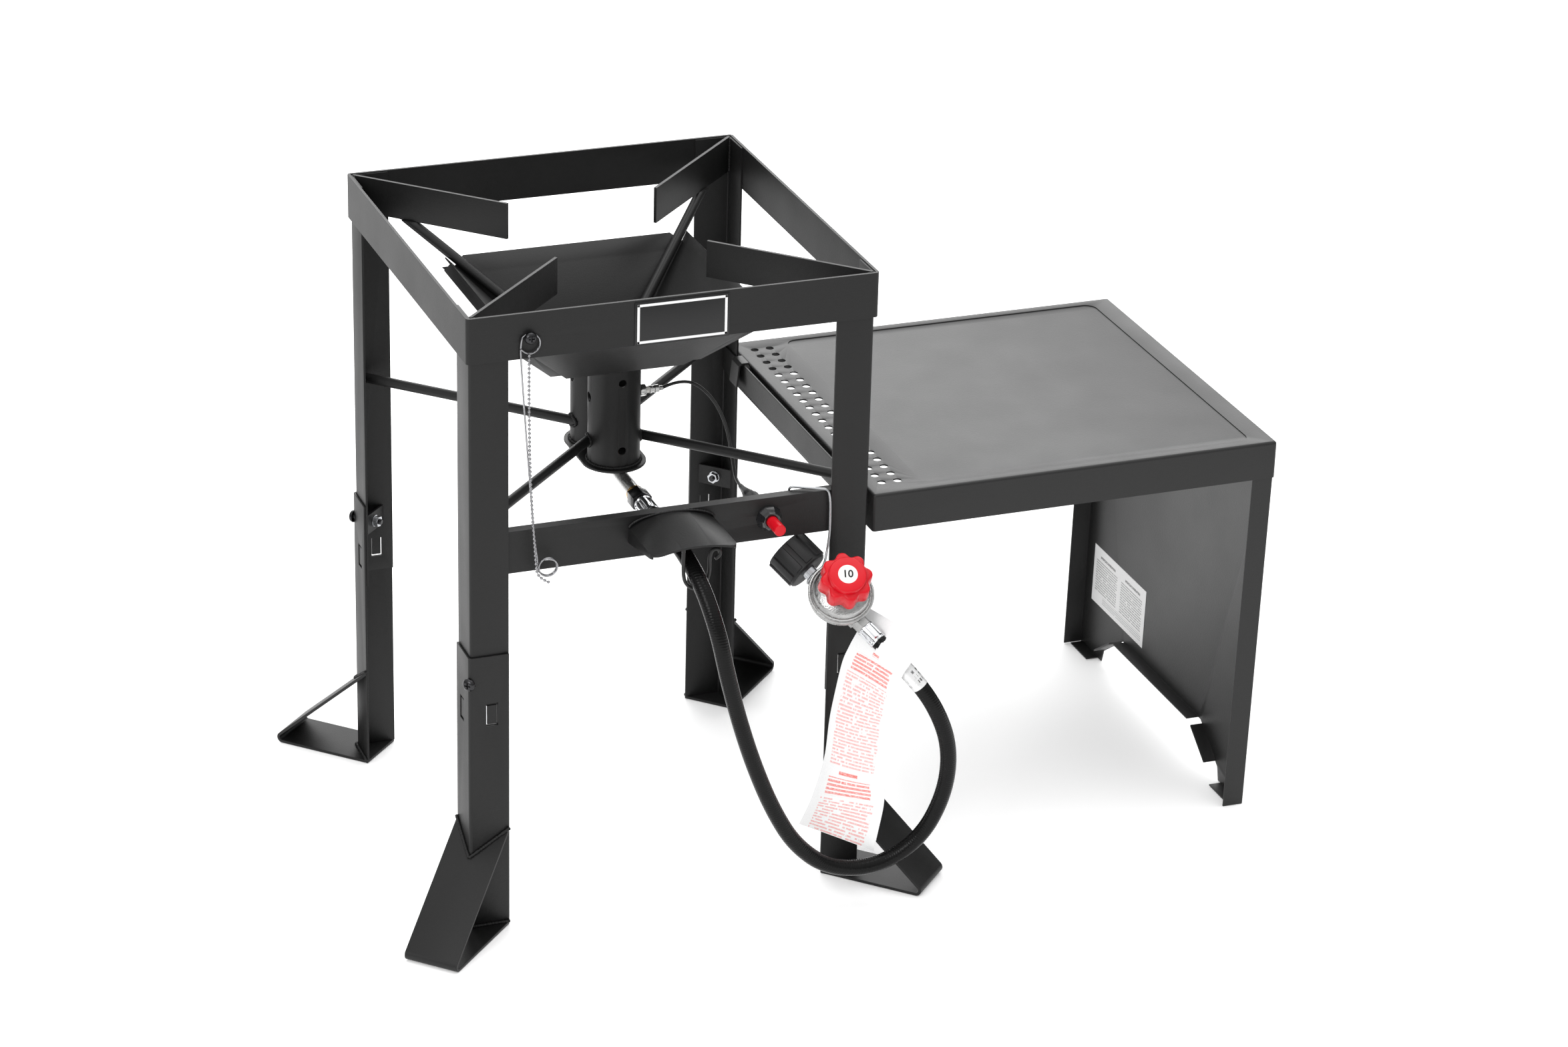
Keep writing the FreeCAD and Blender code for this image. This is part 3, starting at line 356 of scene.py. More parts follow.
def band_foil(name):
    """Silver-white hose label with a few dark dashes of made-up print, its silver painted darker in the
    creases and lighter on the crinkles.
    """
    f = Finish(name, metallic=0.25)
    u, v = f.own_map()
    across, along = u * BAND_ROUND, v * BAND_LONG
    ink = lines_of_print(f, across, along, 4, 20, 5.0, 3, 56.0, 0.3, 0.5)
    place = f.object_place()
    crease_and_painted_shade = f.noise(place, 110.0, 3.0)
    # painted shade and highlight: the silver is darker in the creases and lighter on the crinkles,
    # following the same noise as the bump
    f.set("Base Color", f.blend(ink * 0.9, f.blend(crease_and_painted_shade, rgb(0.62), rgb(0.84)), rgb(0.03)))
    f.set("Roughness", crease_and_painted_shade * 0.2 + 0.2)
    f.set("Normal", f.bump(crease_and_painted_shade, 0.35, 0.0008))
    return f.material


black_coat = powder_coat("black_powder_coat", 0.005, 0.010, 0.48)
table_coat = powder_coat("table_powder_coat", 0.009, 0.017, 0.42)
black_steel = bare_metal("black_screw_steel", (0.045, 0.045, 0.047), 0.26, 0.08)
bright_zinc = bare_metal("bright_zinc", (0.50, 0.51, 0.53), 0.24, 0.08)
chrome = bare_metal("chrome_plate", (0.70, 0.71, 0.73), 0.12, 0.04, 200.0, 0.02)
brass = bare_metal("brass", (0.72, 0.42, 0.13), 0.26, 0.08)
nickel = bare_metal("bright_nickel", (0.80, 0.80, 0.79), 0.28, 0.08)
plated_wire = bare_metal("plated_wire", (0.30, 0.30, 0.31), 0.24, 0.08, 700.0)
diecast = cast_zinc("die_cast_zinc")
spring_wire = bare_metal("zinc_wire", (0.38, 0.39, 0.40), 0.3, 0.1, 700.0, 0.1)
black_wire = powder_coat("black_wire", 0.012, 0.02, 0.4)
gloss_black = moulded("gloss_black_plastic", (0.012, 0.012, 0.013), 0.12, 500.0, 0.03, 0.6)
dull_black = moulded("black_plastic", (0.009, 0.009, 0.0095), 0.46, 1100.0, 0.3)
red_plastic = moulded("red_plastic", (0.60, 0.005, 0.014), 0.3, 500.0, 0.04, 0.04, 0.22)
lead_cover = moulded("lead_insulation", (0.012, 0.012, 0.012), 0.38)
diaphragm_rubber = moulded("diaphragm_rubber", (0.02, 0.02, 0.02), 0.6)
hose_cover = hose_rubber("hose_rubber", HOSE_LENGTH)
card = tag_card("tag_paper", TAG_WIDTH, TAG_LENGTH)
foil = band_foil("silver_label")
label_print = panel_label("panel_label")
plate_black = moulded("plate_enamel", (0.007, 0.007, 0.0075), 0.4, 300.0, 0.03, 0.1)
plate_white = moulded("plate_border", (0.84, 0.84, 0.84), 0.25, 300.0, 0.03, 0.5)
ceramic = moulded("electrode_ceramic", (0.78, 0.76, 0.72), 0.3, 500.0, 0.05, 0.3)


# -------------------------------------------------------------------- pieces
def piece(name, mesh, finishes, slot, body="stand", replaced=(), smooth=30, placed=False):
    """Set a mesh into the frame as a piece: its finish, its body, and the CAD nodes
    that it stands for."""
    if not placed:
        mesh.transform(STAND)
    mesh.materials.clear()
    for finish in finishes if isinstance(finishes, list) else [finishes]:
        mesh.materials.append(finish)
    mesh.shade_smooth()
    mesh.set_sharp_from_angle(angle=math.radians(smooth))
    thing = linked(name, mesh)
    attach(thing, body)
    if replaced:
        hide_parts(*replaced)
    return thing


def mesh_from(work):
    mesh = bpy.data.meshes.new("work")
    work.to_mesh(mesh)
    work.free()
    return mesh


def softened(node, finish, slot, width=0.4, segments=2, angle=35, smooth=22):
    """A copy of a CAD node whose edges are eased, as a pressed or painted edge is."""
    work = bmesh.new()
    work.from_mesh(nodes[node].data)
    bmesh.ops.remove_doubles(work, verts=work.verts, dist=2e-6)
    bmesh.ops.dissolve_limit(work, angle_limit=math.radians(0.6), verts=work.verts,
                             edges=work.edges)
    if width:
        sharp = [e for e in work.edges
                 if e.is_manifold and e.calc_face_angle(0) > math.radians(angle)]
        bmesh.ops.bevel(work, geom=sharp, offset=width / 1000, segments=segments, profile=0.5,
                        affect="EDGES", clamp_overlap=True)
    bmesh.ops.triangulate(work, faces=[f for f in work.faces if len(f.verts) > 4])
    body = nodes[node]["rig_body"]
    return piece(node + "_finish", mesh_from(work), finish, slot, body, [node], smooth, placed=True)


def skin(rings, cap=(True, True), lengths=None):
    """A surface over rings of equally many points, its ends closed to their middles.
    With lengths, the share along each ring, it also gets its own map."""
    work = bmesh.new()
    rows = [[work.verts.new(p) for p in ring] for ring in rings]
    count = len(rows[0])
    layer = work.loops.layers.uv.new("own_map") if lengths else None
    for i, (low, high) in enumerate(zip(rows, rows[1:])):
        for k in range(count):
            n = (k + 1) % count
            face = work.faces.new((low[k], low[n], high[n], high[k]))
            if layer:
                spots = ((k / count, lengths[i]), ((k + 1) / count, lengths[i]),
                         ((k + 1) / count, lengths[i + 1]), (k / count, lengths[i + 1]))
                for loop, spot in zip(face.loops, spots):
                    loop[layer].uv = spot
    for row, wanted, flip in ((rows[0], cap[0], True), (rows[-1], cap[1], False)):
        if wanted:
            middle = work.verts.new(sum((v.co for v in row), Vector()) / count)
            for k in range(count):
                corners = (row[k], row[(k + 1) % count], middle)
                work.faces.new(corners[::-1] if flip else corners)
    bmesh.ops.recalc_face_normals(work, faces=work.faces)
    return mesh_from(work)


def lathe(profile, place, sides=96, outline=None):
    """Turn (radius, height) points about z, then place it.  outline(angle, radius,
    height) may change the radius, for flutes and lobes."""
    rings = []
    for radius, height in profile:
        ring = []
        for k in range(sides):
            a = 2 * math.pi * k / sides
            r = outline(a, radius, height) if outline else radius
            ring.append(place @ Vector((r * math.cos(a), r * math.sin(a), height)))
        rings.append(ring)
    return skin(rings)


def line(name, points):
    """A smooth line with these control points, and the points that it runs through."""
    curve = bpy.data.curves.new(name, "CURVE")
    curve.dimensions = "3D"
    curve.resolution_u = 14
    spline = curve.splines.new("NURBS")
    spline.points.add(len(points) - 1)
    for control, point in zip(spline.points, points):
        control.co = (*at(point), 1)
    spline.order_u = 3
    spline.use_endpoint_u = True
    return [v.co.copy() for v in meshed(linked(name, curve)).vertices]


def tube(run, radius, sides=20, ends=0.0):
    """A round skin along a run of points in metres; its radius in metres may follow the
    distance run.  ends rounds its two tips off."""
    radius = radius if callable(radius) else (lambda s, r=radius: r)
    total = sum((b - a).length for a, b in zip(run, run[1:]))
    rings, lengths, gone = [], [], 0.0
    side = (run[1] - run[0]).orthogonal().normalized()
    for k, point in enumerate(run):
        ahead = (run[min(k + 1, len(run) - 1)] - run[max(k - 1, 0)]).normalized()
        side = (side - ahead * side.dot(ahead)).normalized()
        up = ahead.cross(side)
        gone += (point - run[k - 1]).length if k else 0.0
        r = radius(gone)
        if ends and (k == 0 or k == len(run) - 1):
            r *= 1 - ends
        rings.append([point + (side * math.cos(a) + up * math.sin(a)) * r
                      for a in (2 * math.pi * n / sides for n in range(sides))])
        lengths.append(gone / total)
    return skin(rings, lengths=lengths)


def joined(*meshes):
    work = bmesh.new()
    for mesh in meshes:
        work.from_mesh(mesh)
    return mesh_from(work)


def block(low, high, ease=0.3):
    """A box with eased edges, in stand millimetres."""
    work = bmesh.new()
    bmesh.ops.create_cube(work, size=1.0)
    size = Vector(high) - Vector(low)
    place = Matrix.Translation((Vector(high) + Vector(low)) / 2) @ Matrix.Diagonal((*size, 1))
    bmesh.ops.transform(work, matrix=place, verts=work.verts)
    bmesh.ops.bevel(work, geom=list(work.edges), offset=ease, segments=2, profile=0.5, affect="EDGES")
    return mesh_from(work)


def diagonal(corner, u, v=0.0, z=0.0):
    """A point from its place along and across a corner's diagonal."""
    a = math.radians(CORNERS[corner])
    return Vector((u * math.cos(a) - v * math.sin(a), u * math.sin(a) + v * math.cos(a), z))


# ---------------------------------------------------------- geometry node trees
def new_tree(name, sockets):
    """A geometry tree with a geometry input, named inputs and its output."""
    group = bpy.data.node_groups.new(name, "GeometryNodeTree")
    group.interface.new_socket("Geometry", in_out="OUTPUT", socket_type="NodeSocketGeometry")
    group.interface.new_socket("Geometry", in_out="INPUT", socket_type="NodeSocketGeometry")
    for label, kind in sockets:
        group.interface.new_socket(label, in_out="INPUT", socket_type="NodeSocket" + kind)
    tree = Tree(group)
    return tree, tree.add("NodeGroupInput")


def close_tree(tree, geometry, finish):
    """End a tree in plain, smooth, finished geometry."""
    whole = tree.add("GeometryNodeRealizeInstances", None, {0: geometry})
    smooth = tree.add("GeometryNodeSetShadeSmooth", None, {"Geometry": whole})
    dressed = tree.add("GeometryNodeSetMaterial", None, {"Geometry": smooth, "Material": finish})
    tree.feed(tree.tree.nodes.new("NodeGroupOutput"), 0, dressed)
    return tree.tree


def grown(name, mesh, group, values):
    """Run a geometry tree on a mesh and keep the plain mesh that it gives."""
    thing = linked(name + "_guide", mesh)
    modifier = thing.modifiers.new("tree", "NODES")
    modifier.node_group = group
    for item in group.interface.items_tree:
        if item.in_out == "INPUT" and item.name in values:
            modifier[item.identifier] = values[item.name]
    return meshed(thing)


def guide(lines, placed=False):
    """Polylines as one mesh of edges, for a tree to follow."""
    mesh = bpy.data.meshes.new("guide")
    verts, edges = [], []
    for run in lines:
        edges += [(len(verts) + k, len(verts) + k + 1) for k in range(len(run) - 1)]
        verts += [tuple(p if placed else at(p)) for p in run]
    mesh.from_pydata(verts, edges, [])
    return mesh


def weld_tree():
    """A weld: overlapping ripples laid along a seam, each a little different."""
    tree, given = new_tree("weld_bead", [("Width", "Float"), ("Ripple", "Float"),
                                         ("Finish", "Material"), ("Seed", "Int")])
    width, ripple, finish, seed = (given.out(k) for k in ("Width", "Ripple", "Finish", "Seed"))
    seam = tree.add("GeometryNodeMeshToCurve", None, {0: given.out("Geometry")})
    steps = tree.add("GeometryNodeResampleCurve", {"mode": "LENGTH"}, {"Curve": seam, "Length": ripple})
    blob = tree.add("GeometryNodeMeshIcoSphere", None, {"Radius": 1.0, "Subdivisions": 2})
    uneven = tree.add("FunctionNodeRandomValue", {"data_type": "FLOAT"},
                      {2: 0.78, 3: 1.15, "Seed": seed}, 1)
    half = width * 0.5 * uneven
    size = tree.add("ShaderNodeCombineXYZ", None, {0: half, 1: half, 2: ripple * 1.15})
    turn = tree.add("FunctionNodeAlignRotationToVector", {"axis": "Z"},
                    {"Vector": tree.add("GeometryNodeInputTangent")})
    laid = tree.add("GeometryNodeInstanceOnPoints", None,
                    {"Points": steps, "Instance": blob, "Rotation": turn, "Scale": size})
    return close_tree(tree, laid, finish)


def chain_tree():
    """A ball chain: hollow beads at an even pitch on a thin link wire."""
    tree, given = new_tree("ball_chain", [("Bead", "Float"), ("Pitch", "Float"), ("Link", "Float"),
                                          ("Finish", "Material")])
    bead, pitch, link, finish = (given.out(k) for k in ("Bead", "Pitch", "Link", "Finish"))
    run = tree.add("GeometryNodeMeshToCurve", None, {0: given.out("Geometry")})
    steps = tree.add("GeometryNodeResampleCurve", {"mode": "LENGTH"}, {"Curve": run, "Length": pitch})
    ball = tree.add("GeometryNodeMeshUVSphere", None,
                    {"Segments": 12, "Rings": 8, "Radius": bead * 0.5})
    turn = tree.add("FunctionNodeAlignRotationToVector", {"axis": "Z"},
                    {"Vector": tree.add("GeometryNodeInputTangent")})
    beads = tree.add("GeometryNodeInstanceOnPoints", None,
                     {"Points": steps, "Instance": ball, "Rotation": turn})
    round_ = tree.add("GeometryNodeCurvePrimitiveCircle", None,
                      {"Resolution": 6, "Radius": link * 0.5})
    wire = tree.add("GeometryNodeCurveToMesh", None,
                    {"Curve": run, "Profile Curve": round_, "Fill Caps": True})
    both = tree.add("GeometryNodeJoinGeometry")
    for part in (beads, wire):
        tree.feed(both.node, 0, part)
    return close_tree(tree, both, finish)


def setting_out_tree():
    """One screw set out on points, each turned by the point's own angles."""
    tree, given = new_tree("set_out", [("Screw", "Object"), ("Finish", "Material")])
    shape = tree.add("GeometryNodeObjectInfo", None, {"Object": given.out("Screw")}, "Geometry")
    turn = tree.add("GeometryNodeInputNamedAttribute", {"data_type": "FLOAT_VECTOR"}, {"Name": "turn"})
    laid = tree.add("GeometryNodeInstanceOnPoints", None,
                    {"Points": given.out("Geometry"), "Instance": shape, "Rotation": turn})
    return close_tree(tree, laid, given.out("Finish"))


# ---------------------------------------------------------------- steel parts
STEEL = ["top_ring", "pot_supports", "leg_nut_plates", "front_crossbar", "side_crossbar",
         "bowl_front", "bowl_back", "bowl_left", "bowl_right", "bowl_floor", "burner_base_plate",
         "hose_guard"]
for corner in CORNERS:
    STEEL += ["upper_leg_" + corner, "lower_leg_" + corner, "foot_" + corner]
RODS = ["burner_rods", "bowl_rods", "burner_tube_front", "burner_tube_back"]
TABLE = ["side_table_top", "side_table_leg", "side_table_hooks"]
for names, coat, slot, ease in ((STEEL, black_coat, "black_powder_coat", 0.4),
                                (RODS, black_coat, "black_powder_coat", 0.3),
                                (TABLE, table_coat, "table_powder_coat", 0.35)):
    for node in names:
        softened(node, coat, slot, ease)
FITTINGS = [                          # node, finish, slot, ease, segments, angle and smooth
    ("leg_nuts", bright_zinc, "bright_zinc", 0.35),
    ("gas_pipe", nickel, "chrome_plate", 0.4),
    ("gas_jets", brass, "brass", 0.2),
    ("pipe_collar", brass, "brass", 0.6),
    ("flare_nut", black_steel, "bright_zinc", 0.6, 3),
    ("igniter_bezel", gloss_black, "gloss_black_plastic", 0.5, 3),
    ("igniter_barrel", dull_black, "black_plastic", 0.5),
    ("igniter_plunger", red_plastic, "red_plastic", 0.5, 3, 35, 40),
    ("regulator_body", diecast, "die_cast_zinc", 0.8, 3),
    ("regulator_diaphragm", diaphragm_rubber, "diaphragm_rubber", 0.2),
    ("inlet_nipple", bright_zinc, "bright_zinc", 0.4),
    ("coupling_nut", dull_black, "black_plastic", 0.9, 3, 40, 32)]
for fitting in FITTINGS:
    softened(*fitting)

# ---------------------------------------------------------------------- cords
# The hose runs forward through the crossbar, bends down over its hanger, hangs in
# one open loop close to the floor and climbs back to the regulator.
REG_CENTRE = Vector((156.7, -245.0, 329.0))
REG = (Matrix.Translation(REG_CENTRE) @ Matrix.Rotation(math.radians(-101.37), 4, "Z")
       @ Matrix.Rotation(math.radians(42.22), 4, "Y") @ Matrix.Rotation(math.radians(38.32), 4, "Z"))
INLET = REG @ Matrix.Translation((0, 0, -18))     # on the inlet and outlet axis
OUTLET = (REG.to_3x3() @ Vector((1, 0, 0))).normalized()
HOSE_START = Vector((0, -146, PIPE_Z))
HOSE_END = INLET @ Vector((56, 0, 0))
HOSE_ROUTE = [HOSE_START, (0, -184, 390), (2, -222, 388), (8, -260, 370), (16, -288, 330),
              (25, -291, 284), (39, -289, 232), (57, -285, 178), (79, -281, 125), (104, -278, 81),
              (140, -277, 49), (189, -280, 43), (233, -286, 70), (252.5, -297, 124),
              (251, -307, 180), (232.5, -309, 228), HOSE_END + OUTLET * 40, HOSE_END]
hose_run = line("hose_line", HOSE_ROUTE)
gas_hose = piece("gas_hose_cover", tube(hose_run, HOSE_D / 2000, 40), hose_cover, "hose_rubber",
                 replaced=["gas_hose"], placed=True)

LEAD_ROUTE = [(50, -TUBE_Y, ELECTRODE_Z), (62, -28.5, 474.5), (80, -37, 475.5), (95.5, -53, 460.5),
              (102, -71, 438), (102, -85, 416), (101, -97, 401), (99.5, -107.5, 396.8),
              (99, -119, 396.5)]
lead_run = line("lead_line", LEAD_ROUTE)
igniter_lead = piece("igniter_lead_cover", tube(lead_run, LEAD_D / 2000, 14), lead_cover,
                     "lead_insulation", replaced=["igniter_lead"], placed=True)

CHAIN_ROUTE = [(-144.4, -207.6, 597.6), (-144.9, -208.6, 568), (-144.9, -209.5, 530),
               (-144.4, -210.2, 486), (-142.8, -211.2, 445), (-140.6, -212, 408),
               (-139.2, -212.6, 385), (-136.8, -212.9, 373.5), (-127, -212.9, 367.8)]
chain_run = line("chain_line", CHAIN_ROUTE)
chain_mesh = grown("bead_chain", guide([chain_run], True), chain_tree(),
                   {"Bead": CHAIN_D / 1000, "Pitch": 0.0042, "Link": 0.0009,
                    "Finish": plated_wire})
bead_chain = piece("bead_chain_links", chain_mesh, plated_wire, "bright_zinc", "match_holder",
                   ["bead_chain"], 60, True)


# ------------------------------------------------------------------ regulator
KNOB_TURN = math.radians(13)
KNOB_LOBES, LOBE_DEPTH = 8, 4.2
CAP_LOW, STEM_R = 43.2, 17            # above and inside these the knob is plain and round


def knob_outline(angle, radius, height):
    """Round lobes with hollows between them, and none on the raised cap."""
    if height > CAP_LOW or radius < STEM_R:
        return radius
    hollow = 0.5 - 0.5 * math.cos(KNOB_LOBES * (angle - KNOB_TURN))
    return radius - LOBE_DEPTH * hollow ** 1.35


KNOB = [(14.0, 25.0), (16.9, 23.2), (22.0, 22.9), (25.2, 23.0), (26.0, 23.9), (25.7, 33.0),
        (25.3, 41.2), (24.7, 42.4), (23.6, 43.0), (22.4, 43.15), (18.7, 43.25), (18.5, 44.0),
        (18.1, 47.9), (17.6, 48.7), (16.6, 49.0), (10.4, 49.0)]
knob = lathe(KNOB, REG, 192, knob_outline)
stem = lathe([(4.0, 14.0), (4.0, 26.0)], REG, 32)
disc = lathe([(9.4, 48.9), (9.4, 49.15), (9.1, 49.25)], REG, 64)
piece("regulator_knob_wheel", joined(knob, stem), red_plastic, "red_plastic", "regulator_knob",
      ["regulator_knob"], 42)
piece("regulator_knob_disc", disc, plate_white, "red_plastic", "regulator_knob")


def dial_number(text, size, place):
    """A raised number as a thin mesh."""
    curve = bpy.data.curves.new("number", "FONT")
    curve.body, curve.size, curve.extrude, curve.offset = text, size, 0.06, 0.25
    curve.align_x, curve.align_y = "CENTER", "CENTER"
    mesh = meshed(linked("number", curve))
    mesh.transform(place)
    return mesh


number_place = REG @ Matrix.Translation((0, 0, 49.28)) @ Matrix.Rotation(math.radians(49), 4, "Z")
piece("regulator_knob_number", dial_number("10", 10.5, number_place), dull_black, "red_plastic",
      "regulator_knob")

BONNET = [(6.0, 1.0), (31.2, 1.0), (32.0, 1.5), (32.2, 2.4), (31.7, 3.2), (30.6, 3.5), (30.3, 3.2),
          (29.9, 3.5), (29.6, 4.6), (29.0, 5.2), (28.2, 5.0), (27.8, 5.6), (27.2, 8.5),
          (25.6, 10.2), (20.0, 13.0), (14.6, 14.8), (13.6, 15.4), (12.6, 19.0), (11.8, 20.0),
          (4.3, 20.0)]
piece("regulator_bonnet_shell", lathe(BONNET, REG, 128), diecast, "die_cast_zinc",
      replaced=["regulator_bonnet"], smooth=38)


def fluted(angle, radius, height):
    """Crimped flats round a ferrule, between its plain end rims."""
    if not 2.0 < height < 16.0:
        return radius
    return radius - 0.55 * max(0.0, math.cos(8 * angle)) ** 0.5


def ferrule(start, direction, length, radius):
    """A crimped hose ferrule: rolled rims, eight flats and a turned-in mouth."""
    turn = direction.to_track_quat("Z", "Y").to_matrix().to_4x4()
    place = Matrix.Translation(start) @ turn @ Matrix.Diagonal((1, 1, length / 19.0, 1))
    profile = [(radius - drop, height) for drop, height in (
        (1.2, 0.0), (0.3, 0.1), (0, 0.6), (0, 1.5), (0.35, 2.1), (0.3, 3.2), (0.2, 8.0),
        (0.3, 14.8), (0.35, 16.0), (0, 16.7), (0, 18.2), (0.4, 18.9), (0.9, 19.0))]
    profile.append((HOSE_D / 2, 18.6))
    return lathe(profile, place, 96, fluted)


piece("hose_ferrule_pair", joined(ferrule(Vector((0, -118, PIPE_Z)), Vector((0, -1, 0)), 28.0, 9.5),
                                  ferrule(INLET @ Vector((37, 0, 0)), OUTLET, 19.0, 9.0)),
      chrome, "chrome_plate", replaced=["hose_ferrules"], smooth=25)

# ---------------------------------------------------------------- bent wires
HOOK_WIRE = [(124, -184.4, 400.5), (124, -184.4, 410.5), (124, -184.6, 420.3), (132, -188.2, 420.1),
             (141, -192.5, 419.9), (150, -197, 419.9), (158, -201.2, 419.9), (160, -201.6, 410.5),
             (160.8, -201.4, 398), (160.8, -201.4, 372), (158.5, -202, 356),
             INLET @ Vector((-34, 13.5, 4.5))]
for k, degrees in enumerate(range(62, 312, 50)):
    a = math.radians(degrees)
    HOOK_WIRE.append(INLET @ Vector((-34.0 + 0.25 * k, 9.7 * math.cos(a), 9.7 * math.sin(a))))
piece("regulator_hook_wire", tube(line("hook_line", HOOK_WIRE), 0.0012, 14, 0.3), spring_wire,
      "bright_zinc", replaced=["regulator_hook"], placed=True)

HANGER_WIRE = [(-6, -250, 413.5), (-6, -250, 392), (-6, -250.3, 371), (-1, -250, 361.5),
               (8, -250, 357.5), (16.5, -250, 362), (20.5, -250, 374), (19.8, -250, 390),
               (23, -250, 397.5), (30, -250, 396.5), (31, -250, 389.5), (25.6, -250, 387)]
piece("hose_hanger_wire", tube(line("hanger_line", HANGER_WIRE), 0.0018, 16, 0.3), black_wire,
      "black_wire", replaced=["hose_hanger"], placed=True)

SCREW = Vector((-142.7, RING_FACE, 614.5))


def wound(centre, radius, start, sweep, forward):
    """Corners of a turn of wire seen from the front, stepped forward as it winds."""
    steps = round(sweep / 45)
    corner_r = radius / math.cos(math.radians(22.5))
    points = []
    for k in range(steps + 1):
        a = math.radians(start + sweep * k / steps)
        step = -forward(k / steps)
        points.append(centre + Vector((corner_r * math.cos(a), step, corner_r * math.sin(a))))
    return points


HOLDER_WIRE = (wound(SCREW + Vector((0, -1.5, -6.1)), 9.6, -157.5, 315,
                     lambda share: 2.0 * (1 - share) ** 2)
               + [(-150.6, -205.2, 575), (-145.6, -206.2, 500), (-139, -207.2, 410)]
               + wound(Vector((-126.6, -207.6, 382.0)), 9.0, 157.5, 675, lambda share: 4.2 * share))
piece("match_holder_wire", tube(line("holder_line", HOLDER_WIRE), 0.0009, 12, 0.3), plated_wire,
      "bright_zinc", "match_holder", ["match_holder"], placed=True)

# ------------------------------------------------------------ screws and boots
PAN_HEAD = [(2.2, -32.0), (3.0, -31.0)]
PAN_HEAD += [(r, -31.0 + 1.25 * k + step) for k in range(22) for r, step in ((3.0, 0.0), (2.6, 0.6))]
PAN_HEAD += [(3.0, -3.2), (3.0, 0.0), (6.3, 0.0), (6.5, 0.3), (6.4, 1.8), (5.7, 3.1), (4.5, 4.1),
             (3.0, 4.6), (0.6, 4.7)]


def cross_screw(name, profile, slot_half, slot_depth, top):
    """A pan-head screw, its cross recess sunk into the head."""
    mesh = lathe(profile, Matrix.Identity(4), 40)
    for turn in (0, 90):
        slot = block((-slot_half, -0.65, top - slot_depth), (slot_half, 0.65, top + 2), 0.15)
        slot.transform(Matrix.Rotation(math.radians(turn), 4, "Z"))
        cutter, thing = linked("cutter", slot), linked(name, mesh)
        cut = thing.modifiers.new("recess", "BOOLEAN")
        cut.object, cut.operation, cut.solver = cutter, "DIFFERENCE", "EXACT"
        mesh = meshed(thing)
        bpy.data.objects.remove(cutter)
    mesh.transform(Matrix.Scale(0.001, 4))
    return linked(name, mesh)


def set_out(name, screw, spots, finish):
    """Set a screw out on spots, each a point and the direction its head faces."""
    mesh = bpy.data.meshes.new("spots")
    mesh.from_pydata([tuple(at(p)) for p, _ in spots], [], [])
    turns = mesh.attributes.new("turn", "FLOAT_VECTOR", "POINT")
    for k, (_, facing) in enumerate(spots):
        turns.data[k].vector = Vector(facing).to_track_quat("Z", "Y").to_euler()
    result = grown(name, mesh, setting_out_tree(), {"Screw": screw, "Finish": finish})
    bpy.data.objects.remove(screw)
    return result


under_head = HEEL_U - 3.2 * (math.sqrt(2) - 1)
spots = [(diagonal(corner, under_head, 0, BOLT_Z), diagonal(corner, 1)) for corner in CORNERS]
leg_screw = cross_screw("leg_screw", PAN_HEAD, 3.2, 2.2, 4.7)
piece("leg_bolt_set", set_out("leg_bolts", leg_screw, spots, black_steel), black_steel,
      "black_screw", replaced=["leg_bolts"], smooth=35, placed=True)
SHORT = [(2.2, -13.0), (2.5, -12.5), (2.5, 0.0), (5.8, 0.0), (6.0, 0.3), (5.9, 1.7), (5.2, 2.9),
         (4.1, 3.8), (2.7, 4.3), (0.6, 4.4)]
screw_mesh = set_out("match_screw", cross_screw("ring_screw", SHORT, 3.0, 2.0, 4.4),
                     [(SCREW + Vector((0, -3, 0)), (0, -1, 0))], black_steel)
piece("match_screw_head", screw_mesh, black_steel, "black_screw", replaced=["match_screw"],
      smooth=35, placed=True)


def hex_nut(centre, facing, flats, thick, bore):
    """A hexagonal nut with both faces chamfered round."""
    place = Matrix.Translation(centre) @ Vector(facing).to_track_quat("Z", "Y").to_matrix().to_4x4()
    corner = flats / math.sqrt(3)

    def six(angle, radius, height):
        a = (angle + math.pi / 6) % (math.pi / 3) - math.pi / 6
        return min(radius, flats / 2 / math.cos(a))

    profile = [(bore, 0.0), (flats / 2, 0.0), (corner, 0.14 * thick), (corner, 0.86 * thick),
               (flats / 2, thick), (bore, thick)]
    return lathe(profile, place, 72, six)


piece("match_screw_nut", hex_nut(SCREW + Vector((0, 3, 0)), (0, 1, 0), 8.0, 4.0, 2.5), bright_zinc,
      "black_screw", smooth=25)

electrode_x = (Matrix.Translation((0, -TUBE_Y, ELECTRODE_Z))
               @ Matrix.Rotation(math.radians(90), 4, "Y"))
electrode = joined(hex_nut(Vector((26.2, -TUBE_Y, ELECTRODE_Z)), (1, 0, 0), 11.0, 5.8, 3.3),
                   lathe([(0.5, 6.0), (1.0, 6.5), (1.0, 14.0)], electrode_x, 16))
piece("igniter_electrode_nut", electrode, nickel, "bright_zinc",
      replaced=["igniter_electrode"], smooth=25)
CORE = [(2.2, 14.0), (3.2, 14.6), (3.2, 24.0), (3.3, 32.0), (3.3, 36.2)]
piece("igniter_electrode_core", lathe(CORE, electrode_x, 32), ceramic, "bright_zinc")
CONNECTOR = [(3.3, 35.8), (4.0, 36.4), (4.0, 38.4), (3.5, 39.0), (3.5, 41.0), (4.0, 41.6),
             (4.0, 45.4), (3.4, 46.2), (2.6, 46.8), (2.3, 50.0), (1.6, 50.2)]
boot_place = Matrix.Translation((99, -150, 396.5)) @ Matrix.Rotation(math.radians(-90), 4, "X")
BOOT = [(5.2, 0.0), (6.0, 0.5), (6.0, 8.4), (5.2, 9.2), (4.9, 13.0), (4.5, 13.6), (4.1, 17.0),
        (3.7, 17.6), (3.4, 21.0), (3.0, 21.6), (2.8, 25.0), (2.4, 30.8), (1.7, 31.0)]
